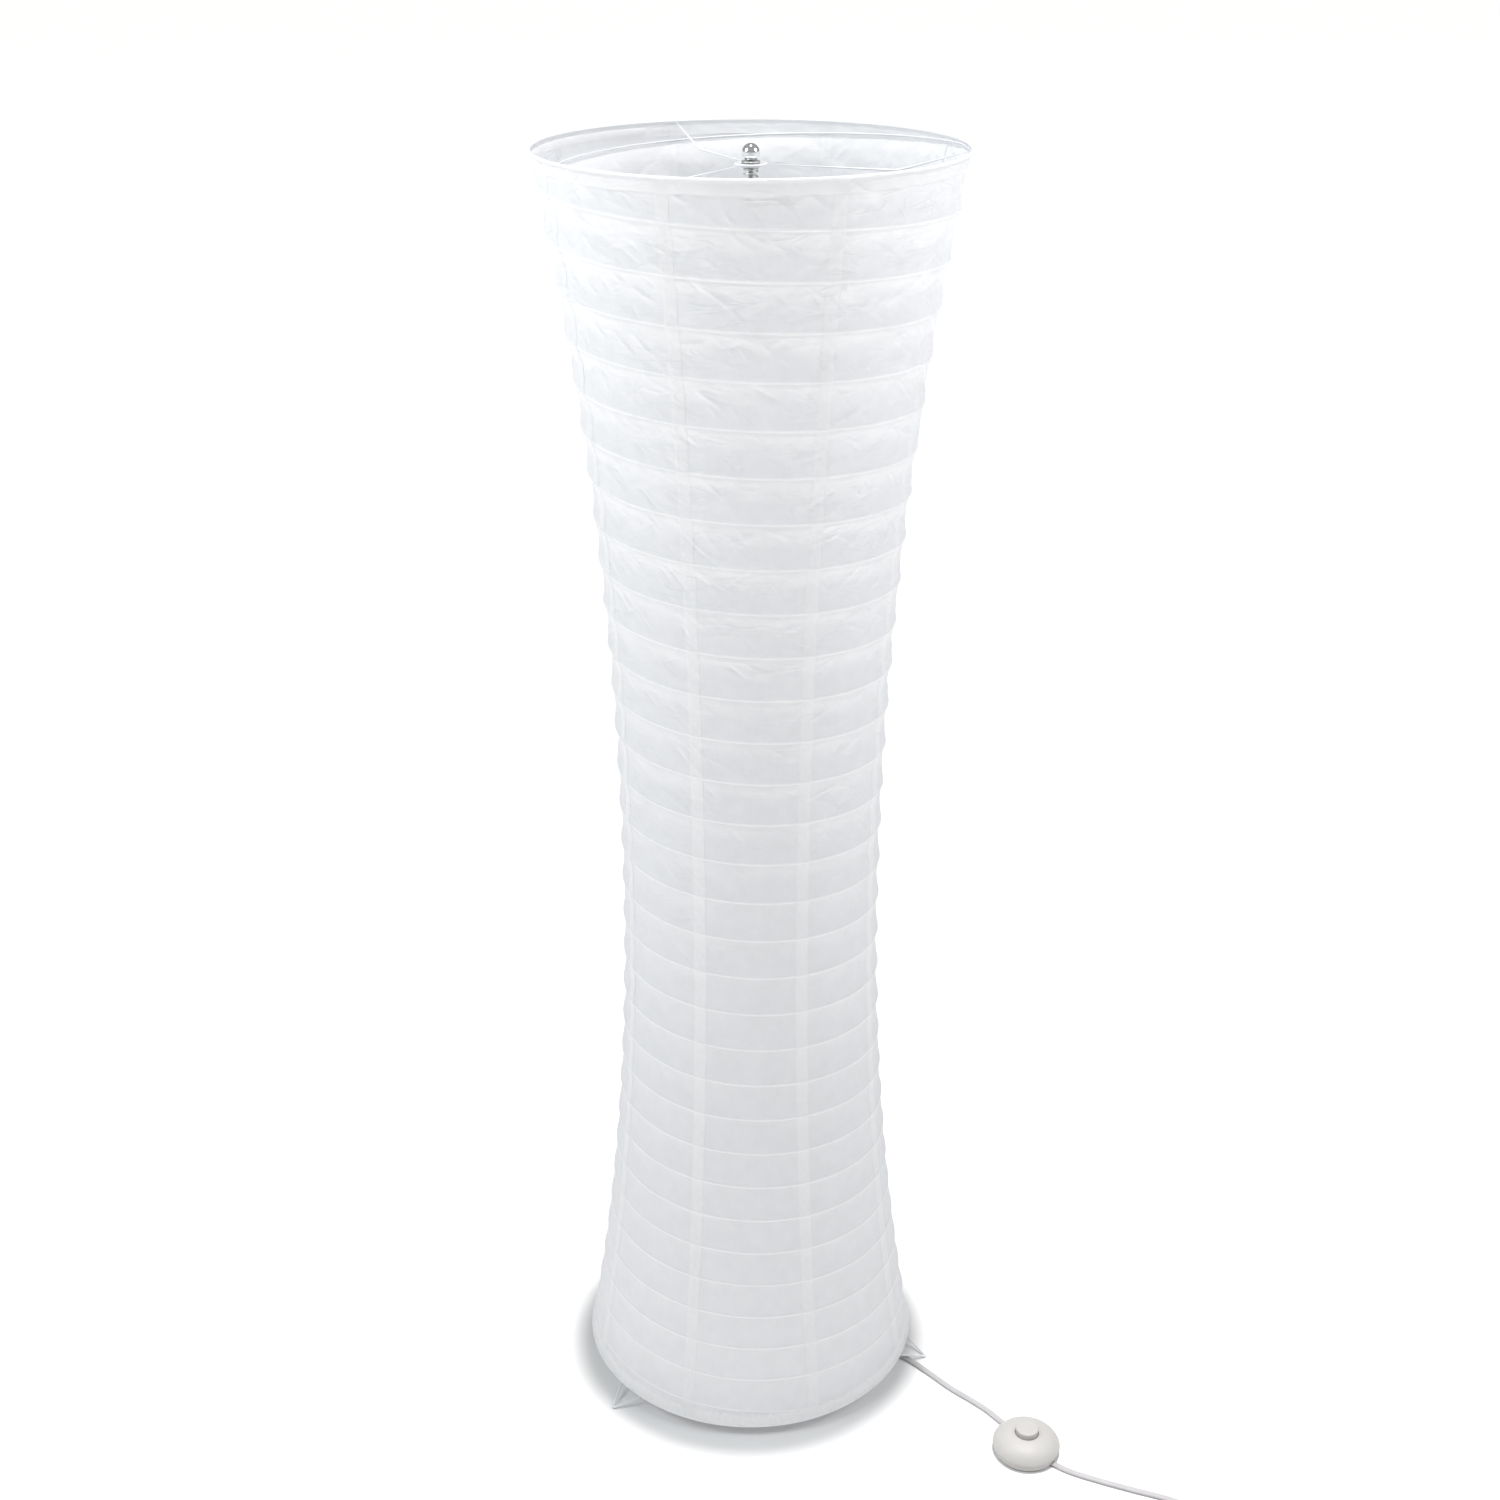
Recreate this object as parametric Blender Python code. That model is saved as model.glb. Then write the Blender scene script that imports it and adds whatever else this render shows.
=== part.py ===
"""Accordion paper floor lamp: an hourglass shade of eight paper gores on one spiral rib wire,
hung from a three-arm wire spider on a central pole, with two lampholders inside, a wire-footed
base, and a flat mains cord with a round foot switch and a flat two-pin plug.

Metres, +Z up. The origin is the centre of the base disc's underside, on the floor.
"""

import math

import bmesh
import bpy
import numpy as np
from mathutils import Matrix

# ---------------------------------------------------------------- driving dimensions
GAP = 0.0003  # clearance between touching pieces

HEIGHT = 1.200  # floor to the top of the rim wire
TOP_RADIUS = 0.1790  # rim wire centre line
BOTTOM_RADIUS = 0.1650  # bottom ring wire centre line
WAIST_RADIUS = 0.1208  # paper at the waist
WAIST_Z = 0.530
RIM_WIRE = 0.0013  # wire radii
RING_WIRE = 0.0012
RIB_WIRE = 0.0007
PAPER = 0.0008  # solid stand-in for the paper's thickness

GORES = 8
GORE_STEPS = 2  # flats across one gore
GORE_LEVELS = 12
FIRST_SEAM = math.radians(22.5)

RIB_PITCH = 0.03965  # upper part of the spiral
RIB_FIRST_FRONT_Z = 1.1623  # height of its first pass at the front
RIB_TIGHTENS_AT = 13.2  # turn from which the pitch shrinks
RIB_TIGHTENING = 0.000173  # metres per turn squared
RIB_STEPS = GORES * GORE_STEPS  # flats per turn, in line with the paper's

LEG_WIRE = 0.0012
LEG_HALF_GAP = 0.0135  # half the distance between a leg's two wires
LEG_AZIMUTHS = {"leg_right": -16.8, "leg_back": 103.2, "leg_left": 223.2}
LEG_INNER = 0.012
TOE_RADIUS = 0.1894
FOOT_BEND = 0.0035

DISC_RADIUS = 0.050
POLE_RADIUS = 0.005
POLE_BORE = 0.004
SLEEVE_BORE = POLE_RADIUS + GAP
HOLDER_OFFSET = 0.034  # pole axis to lampholder axis
HOLDER_AZIMUTHS = {"lower": -16.8, "upper": 163.2}
BRACKET_Z = {"lower": 0.300, "upper": 0.780}  # underside of each bracket
BRACKET_THICKNESS = 0.002
HOLDER_HEIGHT = 0.055
HOLDER_RADIUS = 0.0195

ROD_RADIUS = 0.002
EYE_Z = 1.1855  # plane of the spider
EYE_RADIUS = 0.0124
SPIDER_WIRE = 0.001
ARM_KINK_RADIUS = 0.119
ARM_KINK_Z = 1.1825  # each arm dips a little from the eye before it rises to the rim
ARM_AZIMUTHS = {"back": 112.0, "left": 232.0, "right": 352.0}
BALL_RADIUS = 0.0073
BALL_Z = 1.1945

CORD_RADIUS = 0.0027
SWITCH_CENTRE = (0.2675, -0.1845)
SWITCH_RADIUS = 0.0325
SWITCH_IN = math.radians(117.0)
SWITCH_OUT = math.radians(-41.0)
BUTTON_RADIUS = 0.011
COIL_CENTRE = (0.442, -0.328)
COIL_INNER = 0.0237
COIL_OUTER = 0.0403
COIL_FLOOR = 0.0013
COIL_TOP = 0.0125
PLUG_BACK = (0.3840, -0.3654)  # where the cord enters the plug

# ---------------------------------------------------------------- derived heights
RIM_Z = HEIGHT - RIM_WIRE
LEG_Z = 0.0088
RING_Z = LEG_Z + LEG_WIRE + GAP + RING_WIRE
PAPER_TOP = RIM_Z - RIM_WIRE - GAP
PAPER_BOTTOM = RING_Z + RING_WIRE + GAP
DISC_TOP = LEG_Z - LEG_WIRE - GAP
CLAMP_BOTTOM = LEG_Z + LEG_WIRE + GAP
CLAMP_TOP = CLAMP_BOTTOM + 0.0025
POLE_TOP = 1.140
CORD_Z = CORD_RADIUS + 0.0001


# ---------------------------------------------------------------- materials
def material(name, colour, roughness, metallic=0.0, alpha=1.0):
    found = bpy.data.materials.get(name)
    if found:
        return found
    made = bpy.data.materials.new(name)
    made.use_nodes = True
    shader = made.node_tree.nodes["Principled BSDF"]
    shader.inputs["Base Color"].default_value = (*colour, 1.0)
    shader.inputs["Roughness"].default_value = roughness
    shader.inputs["Metallic"].default_value = metallic
    shader.inputs["Alpha"].default_value = alpha
    return made


def paper():
    return material("white_rice_paper", (0.86, 0.86, 0.88), 0.85)


def white_wire():
    return material("white_coated_wire", (0.85, 0.86, 0.88), 0.35)


def white_steel():
    return material("white_powder_coated_steel", (0.84, 0.84, 0.83), 0.45)


def zinc():
    return material("zinc_plated_steel", (0.55, 0.56, 0.57), 0.35, 1.0)


def chrome():
    return material("chrome", (0.80, 0.80, 0.81), 0.08, 1.0)


def holder_plastic():
    return material("white_lampholder_plastic", (0.83, 0.83, 0.80), 0.4)


def bulb_glass():
    return material("opal_bulb_glass", (0.90, 0.90, 0.87), 0.2, alpha=0.8)


def cord_sheath():
    return material("white_cord_sheath", (0.74, 0.73, 0.75), 0.45)


def switch_plastic():
    return material("warm_white_plastic", (0.76, 0.75, 0.73), 0.4)


# ---------------------------------------------------------------- shape helpers
def clear_scene():
    for obj in list(bpy.data.objects):
        bpy.data.objects.remove(obj)


def object_from(name, bm, mat, sharp=35.0):
    bmesh.ops.recalc_face_normals(bm, faces=bm.faces)
    mesh = bpy.data.meshes.new(name)
    bm.to_mesh(mesh)
    bm.free()
    mesh.shade_smooth()
    mesh.set_sharp_from_angle(angle=math.radians(sharp))
    obj = bpy.data.objects.new(name, mesh)
    obj.data.materials.append(mat)
    bpy.context.scene.collection.objects.link(obj)
    return obj


def turned(name, profile, mat, centre=(0.0, 0.0, 0.0), steps=16, axis="Z"):
    """A turned solid. profile runs round the section's (radius, height) points, and a point
    at radius 0 closes the shape on its axis."""
    bm = bmesh.new()
    rings = []
    for radius, height in profile:
        if radius == 0.0:
            rings.append([bm.verts.new((0.0, 0.0, height))])
            continue
        turns = [2 * math.pi * i / steps for i in range(steps)]
        rings.append(
            [bm.verts.new((radius * math.cos(a), radius * math.sin(a), height)) for a in turns]
        )
    for one, two in zip(rings, rings[1:] + rings[:1]):
        if len(one) == 1 and len(two) == 1:
            continue
        for i in range(steps):
            j = (i + 1) % steps
            corners = [one[i % len(one)], one[j % len(one)], two[j % len(two)], two[i % len(two)]]
            bm.faces.new(list(dict.fromkeys(corners)))
    obj = object_from(name, bm, mat)
    if axis == "X":
        obj.rotation_euler = (0.0, math.pi / 2, 0.0)
    obj.location = centre
    return obj


def washer(name, inner, outer, bottom, top, mat, centre=(0.0, 0.0), steps=16):
    profile = [(outer, top), (outer, bottom), (inner, bottom), (inner, top)]
    return turned(name, profile, mat, (centre[0], centre[1], 0.0), steps)


def wire_ring(name, radius, height, wire, mat, centre=(0.0, 0.0), steps=48, sides=6):
    turns = [2 * math.pi * i / sides for i in range(sides)]
    profile = [(radius + wire * math.cos(a), height + wire * math.sin(a)) for a in turns]
    return turned(name, profile, mat, (centre[0], centre[1], 0.0), steps)


def helix(name, path, wire, mat, sides=4, centre=(0.0, 0.0)):
    """A wire wound round a vertical axis. path lists (angle, radius, height)."""
    bm = bmesh.new()
    rings = []
    for angle, radius, height in path:
        ring = []
        for i in range(sides):
            turn = 2 * math.pi * i / sides
            r = radius + wire * math.cos(turn)
            x = centre[0] + r * math.cos(angle)
            y = centre[1] + r * math.sin(angle)
            ring.append(bm.verts.new((x, y, height + wire * math.sin(turn))))
        rings.append(ring)
    for one, two in zip(rings, rings[1:]):
        for i in range(sides):
            j = (i + 1) % sides
            bm.faces.new((one[i], one[j], two[j], two[i]))
    bm.faces.new(rings[0])
    bm.faces.new(rings[-1])
    return object_from(name, bm, mat)


def prism(name, outline, bottom, top, mat):
    """An outline in X and Y, carried straight up."""
    bm = bmesh.new()
    low = [bm.verts.new((x, y, bottom)) for x, y in outline]
    high = [bm.verts.new((x, y, top)) for x, y in outline]
    for i in range(len(outline)):
        j = (i + 1) % len(outline)
        bm.faces.new((low[i], low[j], high[j], high[i]))
    bm.faces.new(low)
    bm.faces.new(high)
    return object_from(name, bm, mat)


def tube(name, points, radius, mat, resolution=2):
    """A round wire or cord along points that are already close together."""
    curve = bpy.data.curves.new(name, "CURVE")
    curve.dimensions = "3D"
    curve.bevel_depth = radius
    curve.bevel_resolution = resolution
    curve.use_fill_caps = True
    spline = curve.splines.new("POLY")
    spline.points.add(len(points) - 1)
    for point, place in zip(spline.points, points):
        point.co = (*place, 1.0)
    obj = bpy.data.objects.new(name, curve)
    obj.data.materials.append(mat)
    bpy.context.scene.collection.objects.link(obj)
    return obj


def smooth_route(route, spacing):
    """Evenly spaced points on a Catmull-Rom curve through the route's own points."""
    route = [np.array(p, float) for p in route]
    ends = [2 * route[0] - route[1], *route, 2 * route[-1] - route[-2]]
    fine = [route[0]]
    for a, b, c, d in zip(ends, ends[1:], ends[2:], ends[3:]):
        for t in np.linspace(0.0, 1.0, 17)[1:]:
            cubic = (3 * b - a - 3 * c + d) * t**3 + (2 * a - 5 * b + 4 * c - d) * t**2
            fine.append(0.5 * (2 * b + (c - a) * t + cubic))
    fine = np.array(fine)
    run = np.concatenate([[0.0], np.cumsum(np.linalg.norm(np.diff(fine, axis=0), axis=1))])
    stops = np.linspace(0.0, run[-1], max(2, round(run[-1] / spacing) + 1))
    return np.stack([np.interp(stops, run, fine[:, k]) for k in range(3)], axis=1).tolist()


def bent_wire(corners, radius, steps=3):
    """Straight runs between corners, with each corner rounded to the radius given."""
    corners = [np.array(p, float) for p in corners]
    points = [corners[0]]
    for a, b, c in zip(corners, corners[1:], corners[2:]):
        back, on = a - b, c - b
        cut = min(radius, 0.4 * np.linalg.norm(back), 0.4 * np.linalg.norm(on))
        start = b + cut * back / np.linalg.norm(back)
        end = b + cut * on / np.linalg.norm(on)
        for t in np.linspace(0.0, 1.0, steps + 1):
            points.append((1 - t) ** 2 * start + 2 * t * (1 - t) * b + t**2 * end)
    return [tuple(p) for p in [*points, corners[-1]]]


def polar(azimuth_degrees, along, across=0.0, height=0.0):
    a = math.radians(azimuth_degrees)
    x = along * math.cos(a) - across * math.sin(a)
    y = along * math.sin(a) + across * math.cos(a)
    return (x, y, height)


def cut_hole(obj, radius, place):
    """A vertical round hole, cut with an exact Boolean."""
    bm = bmesh.new()
    at = Matrix.Translation(place)
    bmesh.ops.create_cone(
        bm, cap_ends=True, segments=16, radius1=radius, radius2=radius, depth=0.02, matrix=at
    )
    cutter = object_from(obj.name + "_cutter", bm, obj.data.materials[0])
    cutter.hide_render = True
    cutter.display_type = "WIRE"
    cut = obj.modifiers.new("hole", "BOOLEAN")
    cut.operation = "DIFFERENCE"
    cut.object = cutter


# ---------------------------------------------------------------- shade
def shade_radius(z):
    """Outer radius of the paper where it crosses a rib: an hourglass, flared more at the top."""
    if z > WAIST_Z:
        share = (z - WAIST_Z) / (RIM_Z - WAIST_Z)
        return WAIST_RADIUS + (TOP_RADIUS - WAIST_RADIUS) * share**2.1
    share = (WAIST_Z - z) / (WAIST_Z - RING_Z)
    return WAIST_RADIUS + (BOTTOM_RADIUS - WAIST_RADIUS) * share**2


def rib_height(turn):
    """Height of the spiral rib. turn 1 is its first pass at the front, and it falls from there."""
    tighter = max(0.0, turn - RIB_TIGHTENS_AT)
    height = RIB_FIRST_FRONT_Z - RIB_PITCH * (turn - 1.0) + RIB_TIGHTENING * tighter**2
    return height


def rib_path():
    """The one spiral wire, from under the rim at the right, down anticlockwise from above."""
    first, last = 0.25, 31.125
    count = round((last - first) * RIB_STEPS)
    top, bottom = PAPER_TOP - RIB_WIRE - 0.001, PAPER_BOTTOM + RIB_WIRE + 0.001
    path = []
    for i in range(count + 1):
        turn = first + i / RIB_STEPS
        height = min(max(rib_height(turn), bottom), top)
        radius = shade_radius(height) - PAPER - GAP - RIB_WIRE
        path.append((2 * math.pi * (turn - 0.25), radius, height))
    return path


def make_gore(index):
    start = FIRST_SEAM + 2 * math.pi * index / GORES
    slack = 0.0003 / WAIST_RADIUS
    angles = np.linspace(start + slack, start + 2 * math.pi / GORES - slack, GORE_STEPS + 1)
    levels = np.linspace(PAPER_BOTTOM, PAPER_TOP, GORE_LEVELS + 1)
    bm = bmesh.new()
    skins = []
    for inset in (0.0, PAPER):
        rows = []
        for z in levels:
            r = shade_radius(z) - inset
            rows.append([bm.verts.new((r * math.cos(a), r * math.sin(a), z)) for a in angles])
        skins.append(rows)
    outer, inner = skins
    for rows in skins:
        for one, two in zip(rows, rows[1:]):
            for i in range(GORE_STEPS):
                bm.faces.new((one[i], one[i + 1], two[i + 1], two[i]))
    for k in range(GORE_LEVELS):
        for side in (0, GORE_STEPS):
            bm.faces.new(
                (outer[k][side], outer[k + 1][side], inner[k + 1][side], inner[k][side])
            )
    for k in (0, GORE_LEVELS):
        for i in range(GORE_STEPS):
            bm.faces.new((outer[k][i], outer[k][i + 1], inner[k][i + 1], inner[k][i]))
    object_from(f"paper_gore_{index + 1}", bm, paper())


def make_shade():
    for index in range(GORES):
        make_gore(index)
    helix("rib_spiral_wire", rib_path(), RIB_WIRE, white_wire())
    wire_ring("top_ring", TOP_RADIUS, RIM_Z, RIM_WIRE, white_wire())
    wire_ring("bottom_ring", BOTTOM_RADIUS, RING_Z, RING_WIRE, white_wire())


# ---------------------------------------------------------------- spider and ball nut
def make_spider():
    rim, low, high = EYE_RADIUS + SPIDER_WIRE, EYE_Z - SPIDER_WIRE, EYE_Z + SPIDER_WIRE
    washer("spider_eye", ROD_RADIUS + GAP, rim, low, high, white_wire(), steps=24)
    inner = rim + GAP
    outer = TOP_RADIUS - RIM_WIRE - 0.0008
    for side, azimuth in ARM_AZIMUTHS.items():
        corners = [
            polar(azimuth, inner, 0.0, EYE_Z),
            polar(azimuth, ARM_KINK_RADIUS, 0.0, ARM_KINK_Z),
            polar(azimuth, outer, 0.0, RIM_Z),
        ]
        tube(f"spider_arm_{side}", bent_wire(corners, 0.004), SPIDER_WIRE, white_wire(), 1)


def make_top_fittings():
    washer_top = EYE_Z - SPIDER_WIRE - GAP
    washer("lower_washer", ROD_RADIUS + GAP, 0.0078, washer_top - 0.0012, washer_top, zinc())
    seat = EYE_Z + SPIDER_WIRE + GAP
    washer("upper_washer", ROD_RADIUS + GAP, 0.0078, seat, seat + 0.001, zinc(), steps=20)

    flat = seat + 0.001 + GAP
    flat_angle = math.asin((flat - BALL_Z) / BALL_RADIUS)
    arc = np.linspace(math.pi / 2, flat_angle, 8)[1:]
    sphere = [(BALL_RADIUS * math.cos(a), BALL_Z + BALL_RADIUS * math.sin(a)) for a in arc]
    bore = ROD_RADIUS + GAP
    hole = [(bore, flat), (bore, BALL_Z + 0.001), (0.0, BALL_Z + 0.001)]
    turned("ball_nut", [(0.0, BALL_Z + BALL_RADIUS), *sphere, *hole], chrome(), steps=20)

    rod = [(0.0, BALL_Z - 0.001), (ROD_RADIUS, BALL_Z - 0.001), (ROD_RADIUS, 1.120), (0.0, 1.120)]
    turned("threaded_rod", rod, zinc(), steps=10)

    wire, radius, pitch = 0.0008, 0.0055, 0.0040
    low = POLE_TOP + GAP + 0.0095 + GAP + wire
    high = washer_top - 0.0012 - GAP - wire
    steps, turns = 10, (high - low) / pitch
    path = [
        (2 * math.pi * i / steps, radius, low + pitch * i / steps)
        for i in range(int(turns * steps) + 1)
    ]
    helix("compression_spring", path, wire, zinc())


# ---------------------------------------------------------------- pole
def make_pole():
    sleeve = 0.0075
    joints = [DISC_TOP + GAP, BRACKET_Z["lower"] - 0.004, BRACKET_Z["upper"] - 0.004, POLE_TOP]
    for name, low, high in zip(("lower", "middle", "upper"), joints, joints[1:]):
        washer(f"pole_{name}", POLE_BORE, POLE_RADIUS, low, high - GAP, white_steel())
    for name, z in BRACKET_Z.items():
        washer(
            f"coupler_{name}", SLEEVE_BORE, sleeve, z - GAP - 0.020, z - GAP, zinc(), steps=12
        )
    bore = ROD_RADIUS + GAP
    washer("pole_cap", bore, 0.0068, POLE_TOP + GAP, POLE_TOP + GAP + 0.0095, zinc())
    washer("base_nut", SLEEVE_BORE, 0.009, CLAMP_TOP + GAP, CLAMP_TOP + 0.008, zinc(), steps=12)


# ---------------------------------------------------------------- base
def make_base():
    bevel = 0.001
    disc = [
        (0.0, DISC_TOP),
        (DISC_RADIUS - bevel, DISC_TOP),
        (DISC_RADIUS, DISC_TOP - bevel),
        (DISC_RADIUS, bevel),
        (DISC_RADIUS - bevel, 0.0),
        (0.0, 0.0),
    ]
    turned("base_disc", disc, white_steel(), steps=32)
    washer("clamp_plate", SLEEVE_BORE, 0.034, CLAMP_BOTTOM, CLAMP_TOP, white_steel(), steps=24)
    for name, azimuth in LEG_AZIMUTHS.items():
        knee = BOTTOM_RADIUS + 0.0015
        corners = [
            polar(azimuth, LEG_INNER, -LEG_HALF_GAP, LEG_Z),
            polar(azimuth, knee, -LEG_HALF_GAP, LEG_Z),
            polar(azimuth, TOE_RADIUS, 0.0, LEG_WIRE + 0.0001),
            polar(azimuth, knee, LEG_HALF_GAP, LEG_Z),
            polar(azimuth, LEG_INNER, LEG_HALF_GAP, LEG_Z),
        ]
        tube(name, bent_wire(corners, FOOT_BEND), LEG_WIRE, white_wire(), 1)


# ---------------------------------------------------------------- lampholders and bulbs
def make_bracket(which):
    azimuth, z = HOLDER_AZIMUTHS[which], BRACKET_Z[which]
    half, steps = 0.0095, 8
    ends = [(HOLDER_OFFSET, -90.0), (0.0, 90.0)]
    outline = []
    for along, start in ends:
        for i in range(steps + 1):
            turn = math.radians(start + 180.0 * i / steps)
            x, y, _ = polar(azimuth, along + half * math.cos(turn), half * math.sin(turn))
            outline.append((x, y))
    plate = prism(f"bracket_{which}", outline, z, z + BRACKET_THICKNESS, white_steel())
    cut_hole(plate, SLEEVE_BORE, polar(azimuth, 0.0, 0.0, z))
    cut_hole(plate, 0.0040, polar(azimuth, HOLDER_OFFSET, 0.0, z))


def make_holder_and_bulb(which):
    x, y, bottom = polar(
        HOLDER_AZIMUTHS[which],
        HOLDER_OFFSET,
        0.0,
        BRACKET_Z[which] + BRACKET_THICKNESS + GAP,
    )
    wall, floor = 0.0140, 0.018
    cup = [
        (HOLDER_RADIUS, HOLDER_HEIGHT),
        (HOLDER_RADIUS, 0.016),
        (0.0135, 0.006),
        (0.0135, 0.0),
        (0.0, 0.0),
        (0.0, floor),
        (wall, floor),
        (wall, HOLDER_HEIGHT),
    ]
    turned(f"lampholder_{which}", cup, holder_plastic(), (x, y, bottom))

    foot = floor + GAP
    shell = 0.0133
    cap = [
        (0.0, foot),
        (0.005, foot),
        (shell, foot + 0.005),
        (shell, HOLDER_HEIGHT + 0.002),
        (0.0, HOLDER_HEIGHT + 0.002),
    ]
    turned(f"bulb_{which}_cap", cap, zinc(), (x, y, bottom))

    base, centre, radius = HOLDER_HEIGHT + 0.002 + GAP, HOLDER_HEIGHT + 0.034, 0.0225
    low = math.asin((base + 0.010 - centre) / radius)
    arc = np.linspace(low, math.pi / 2, 8)
    globe = [(radius * math.cos(a), centre + radius * math.sin(a)) for a in arc[:-1]]
    globe = [(0.0, base), (shell, base), *globe, (0.0, centre + radius)]
    turned(f"bulb_{which}_glass", globe, bulb_glass(), (x, y, bottom))


# ---------------------------------------------------------------- wiring inside
def make_inner_wiring():
    side = 73.2  # the junction's side of the pole
    feed_side, far_side = HOLDER_AZIMUTHS["lower"], HOLDER_AZIMUTHS["upper"]
    half_deep, half_wide, low, high = 0.007, 0.010, 0.100, 0.130
    middle = POLE_RADIUS + 0.0005 + half_deep
    outline = [
        polar(side, middle + a * half_deep, b * half_wide)[:2]
        for a, b in ((-1, -1), (1, -1), (1, 1), (-1, 1))
    ]
    box = prism("junction_box", outline, low, high, holder_plastic())
    bevel = box.modifiers.new("edges", "BEVEL")
    bevel.width = 0.0012
    bevel.segments = 1

    spacing = 2.5 * 2 * CORD_RADIUS
    feed = [
        polar(feed_side, 0.0595, 0.0, DISC_TOP + GAP),
        polar(feed_side, 0.0575, 0.002, 0.022),
        polar(feed_side, 0.042, 0.012, 0.037),
        polar(side, 0.022, -0.008, 0.052),
        polar(side, middle + 0.001, 0.0, 0.075),
        polar(side, middle, 0.0, low - GAP),
    ]
    tube("inner_cord_feed", smooth_route(feed, spacing), CORD_RADIUS, cord_sheath(), 2)

    top = BRACKET_Z["lower"]
    to_lower = [
        polar(side, middle, -0.005, high + GAP),
        polar(side, middle, -0.006, high + 0.030),
        polar(feed_side, 0.012, 0.009, high + 0.065),
        polar(feed_side, 0.014, 0.002, high + 0.110),
        polar(feed_side, 0.030, 0.0, top - 0.025),
        polar(feed_side, HOLDER_OFFSET, 0.0, top - 0.008),
        polar(feed_side, HOLDER_OFFSET, 0.0, top + BRACKET_THICKNESS),
    ]
    tube("inner_cord_to_lower", smooth_route(to_lower, spacing), CORD_RADIUS, cord_sheath(), 2)

    top = BRACKET_Z["upper"]
    to_upper = [
        polar(side, middle, 0.005, high + GAP),
        polar(side, middle, 0.006, high + 0.030),
        polar(far_side, 0.013, -0.008, high + 0.065),
        polar(far_side, 0.0128, 0.0, high + 0.110),
        polar(far_side, 0.0128, 0.0, 0.360),
        polar(far_side, 0.0115, 0.0, 0.520),
        polar(far_side, 0.0115, 0.0, 0.680),
        polar(far_side, 0.0170, 0.0, top - 0.055),
        polar(far_side, 0.0310, 0.0, top - 0.022),
        polar(far_side, HOLDER_OFFSET, 0.0, top - 0.008),
        polar(far_side, HOLDER_OFFSET, 0.0, top + BRACKET_THICKNESS),
    ]
    tube("inner_cord_to_upper", smooth_route(to_upper, spacing), CORD_RADIUS, cord_sheath(), 2)


# ---------------------------------------------------------------- mains cord
GLAND_START, GLAND_END, BOOT_END = 0.0506, 0.0660, 0.0880


def make_cord_entry():
    azimuth = LEG_AZIMUTHS["leg_right"]
    outline = [
        polar(azimuth, a, b)[:2]
        for a, b in (
            (GLAND_START, -0.008),
            (GLAND_END, -0.008),
            (GLAND_END, 0.008),
            (GLAND_START, 0.008),
        )
    ]
    gland = prism("cord_gland", outline, 0.0001, DISC_TOP - 0.0001, holder_plastic())
    bevel = gland.modifiers.new("edges", "BEVEL")
    bevel.width = 0.0008
    bevel.segments = 1

    length = BOOT_END - GLAND_END - GAP
    drop = 0.0009  # from the middle of the gland's face to the middle of the cord
    taper = [(0.0, 0.0), (0.0036, 0.0), (0.0027, length), (0.0, length)]
    boot = turned("cord_boot", taper, cord_sheath(), steps=12, axis="X")
    boot.rotation_euler = (0.0, math.pi / 2 + math.atan(drop / length), math.radians(azimuth))
    boot.location = polar(azimuth, GLAND_END + GAP, 0.0, CORD_Z + drop)


def near_route():
    """From the boot, out under the bottom ring, to the switch."""
    x, y = SWITCH_CENTRE
    reach = SWITCH_RADIUS + 0.0006
    middle = [
        (0.1100, -0.0335),
        (0.1350, -0.0425),
        (0.1575, -0.0560),
        (0.1785, -0.0765),
        (0.2011, -0.1013),
        (0.2200, -0.1185),
        (0.2345, -0.1325),
        (0.2475, -0.1490),
    ]
    start = polar(LEG_AZIMUTHS["leg_right"], BOOT_END + GAP)[:2]
    end = (x + reach * math.cos(SWITCH_IN), y + reach * math.sin(SWITCH_IN))
    return [(*p, CORD_Z) for p in (start, *middle, end)]


def far_route():
    """From the switch, out past the front right, to the stored coil."""
    x, y = SWITCH_CENTRE
    reach = SWITCH_RADIUS + 0.0006
    start = (x + reach * math.cos(SWITCH_OUT), y + reach * math.sin(SWITCH_OUT))
    middle = [
        (0.3085, -0.2168),
        (0.3327, -0.2274),
        (0.3631, -0.2392),
        (0.3931, -0.2501),
        (0.4220, -0.2650),
    ]
    return [(*p, CORD_Z) for p in (start, *middle, (0.4475, -0.2848))]


def make_cord():
    spacing = 2.5 * 2 * CORD_RADIUS
    for name, route in (("cord_near", near_route()), ("cord_far", far_route())):
        tube(name, smooth_route(route, spacing), CORD_RADIUS, cord_sheath(), 2)
    plug_x, plug_y = PLUG_BACK
    tail = [(COIL_CENTRE[0] - 0.0216, plug_y, CORD_Z), (plug_x + GAP, plug_y, CORD_Z)]
    tube("cord_tail", smooth_route(tail, spacing), CORD_RADIUS, cord_sheath(), 2)
    washer(
        "cord_coil",
        COIL_INNER,
        COIL_OUTER,
        COIL_FLOOR,
        COIL_TOP,
        cord_sheath(),
        COIL_CENTRE,
        24,
    )


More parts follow.
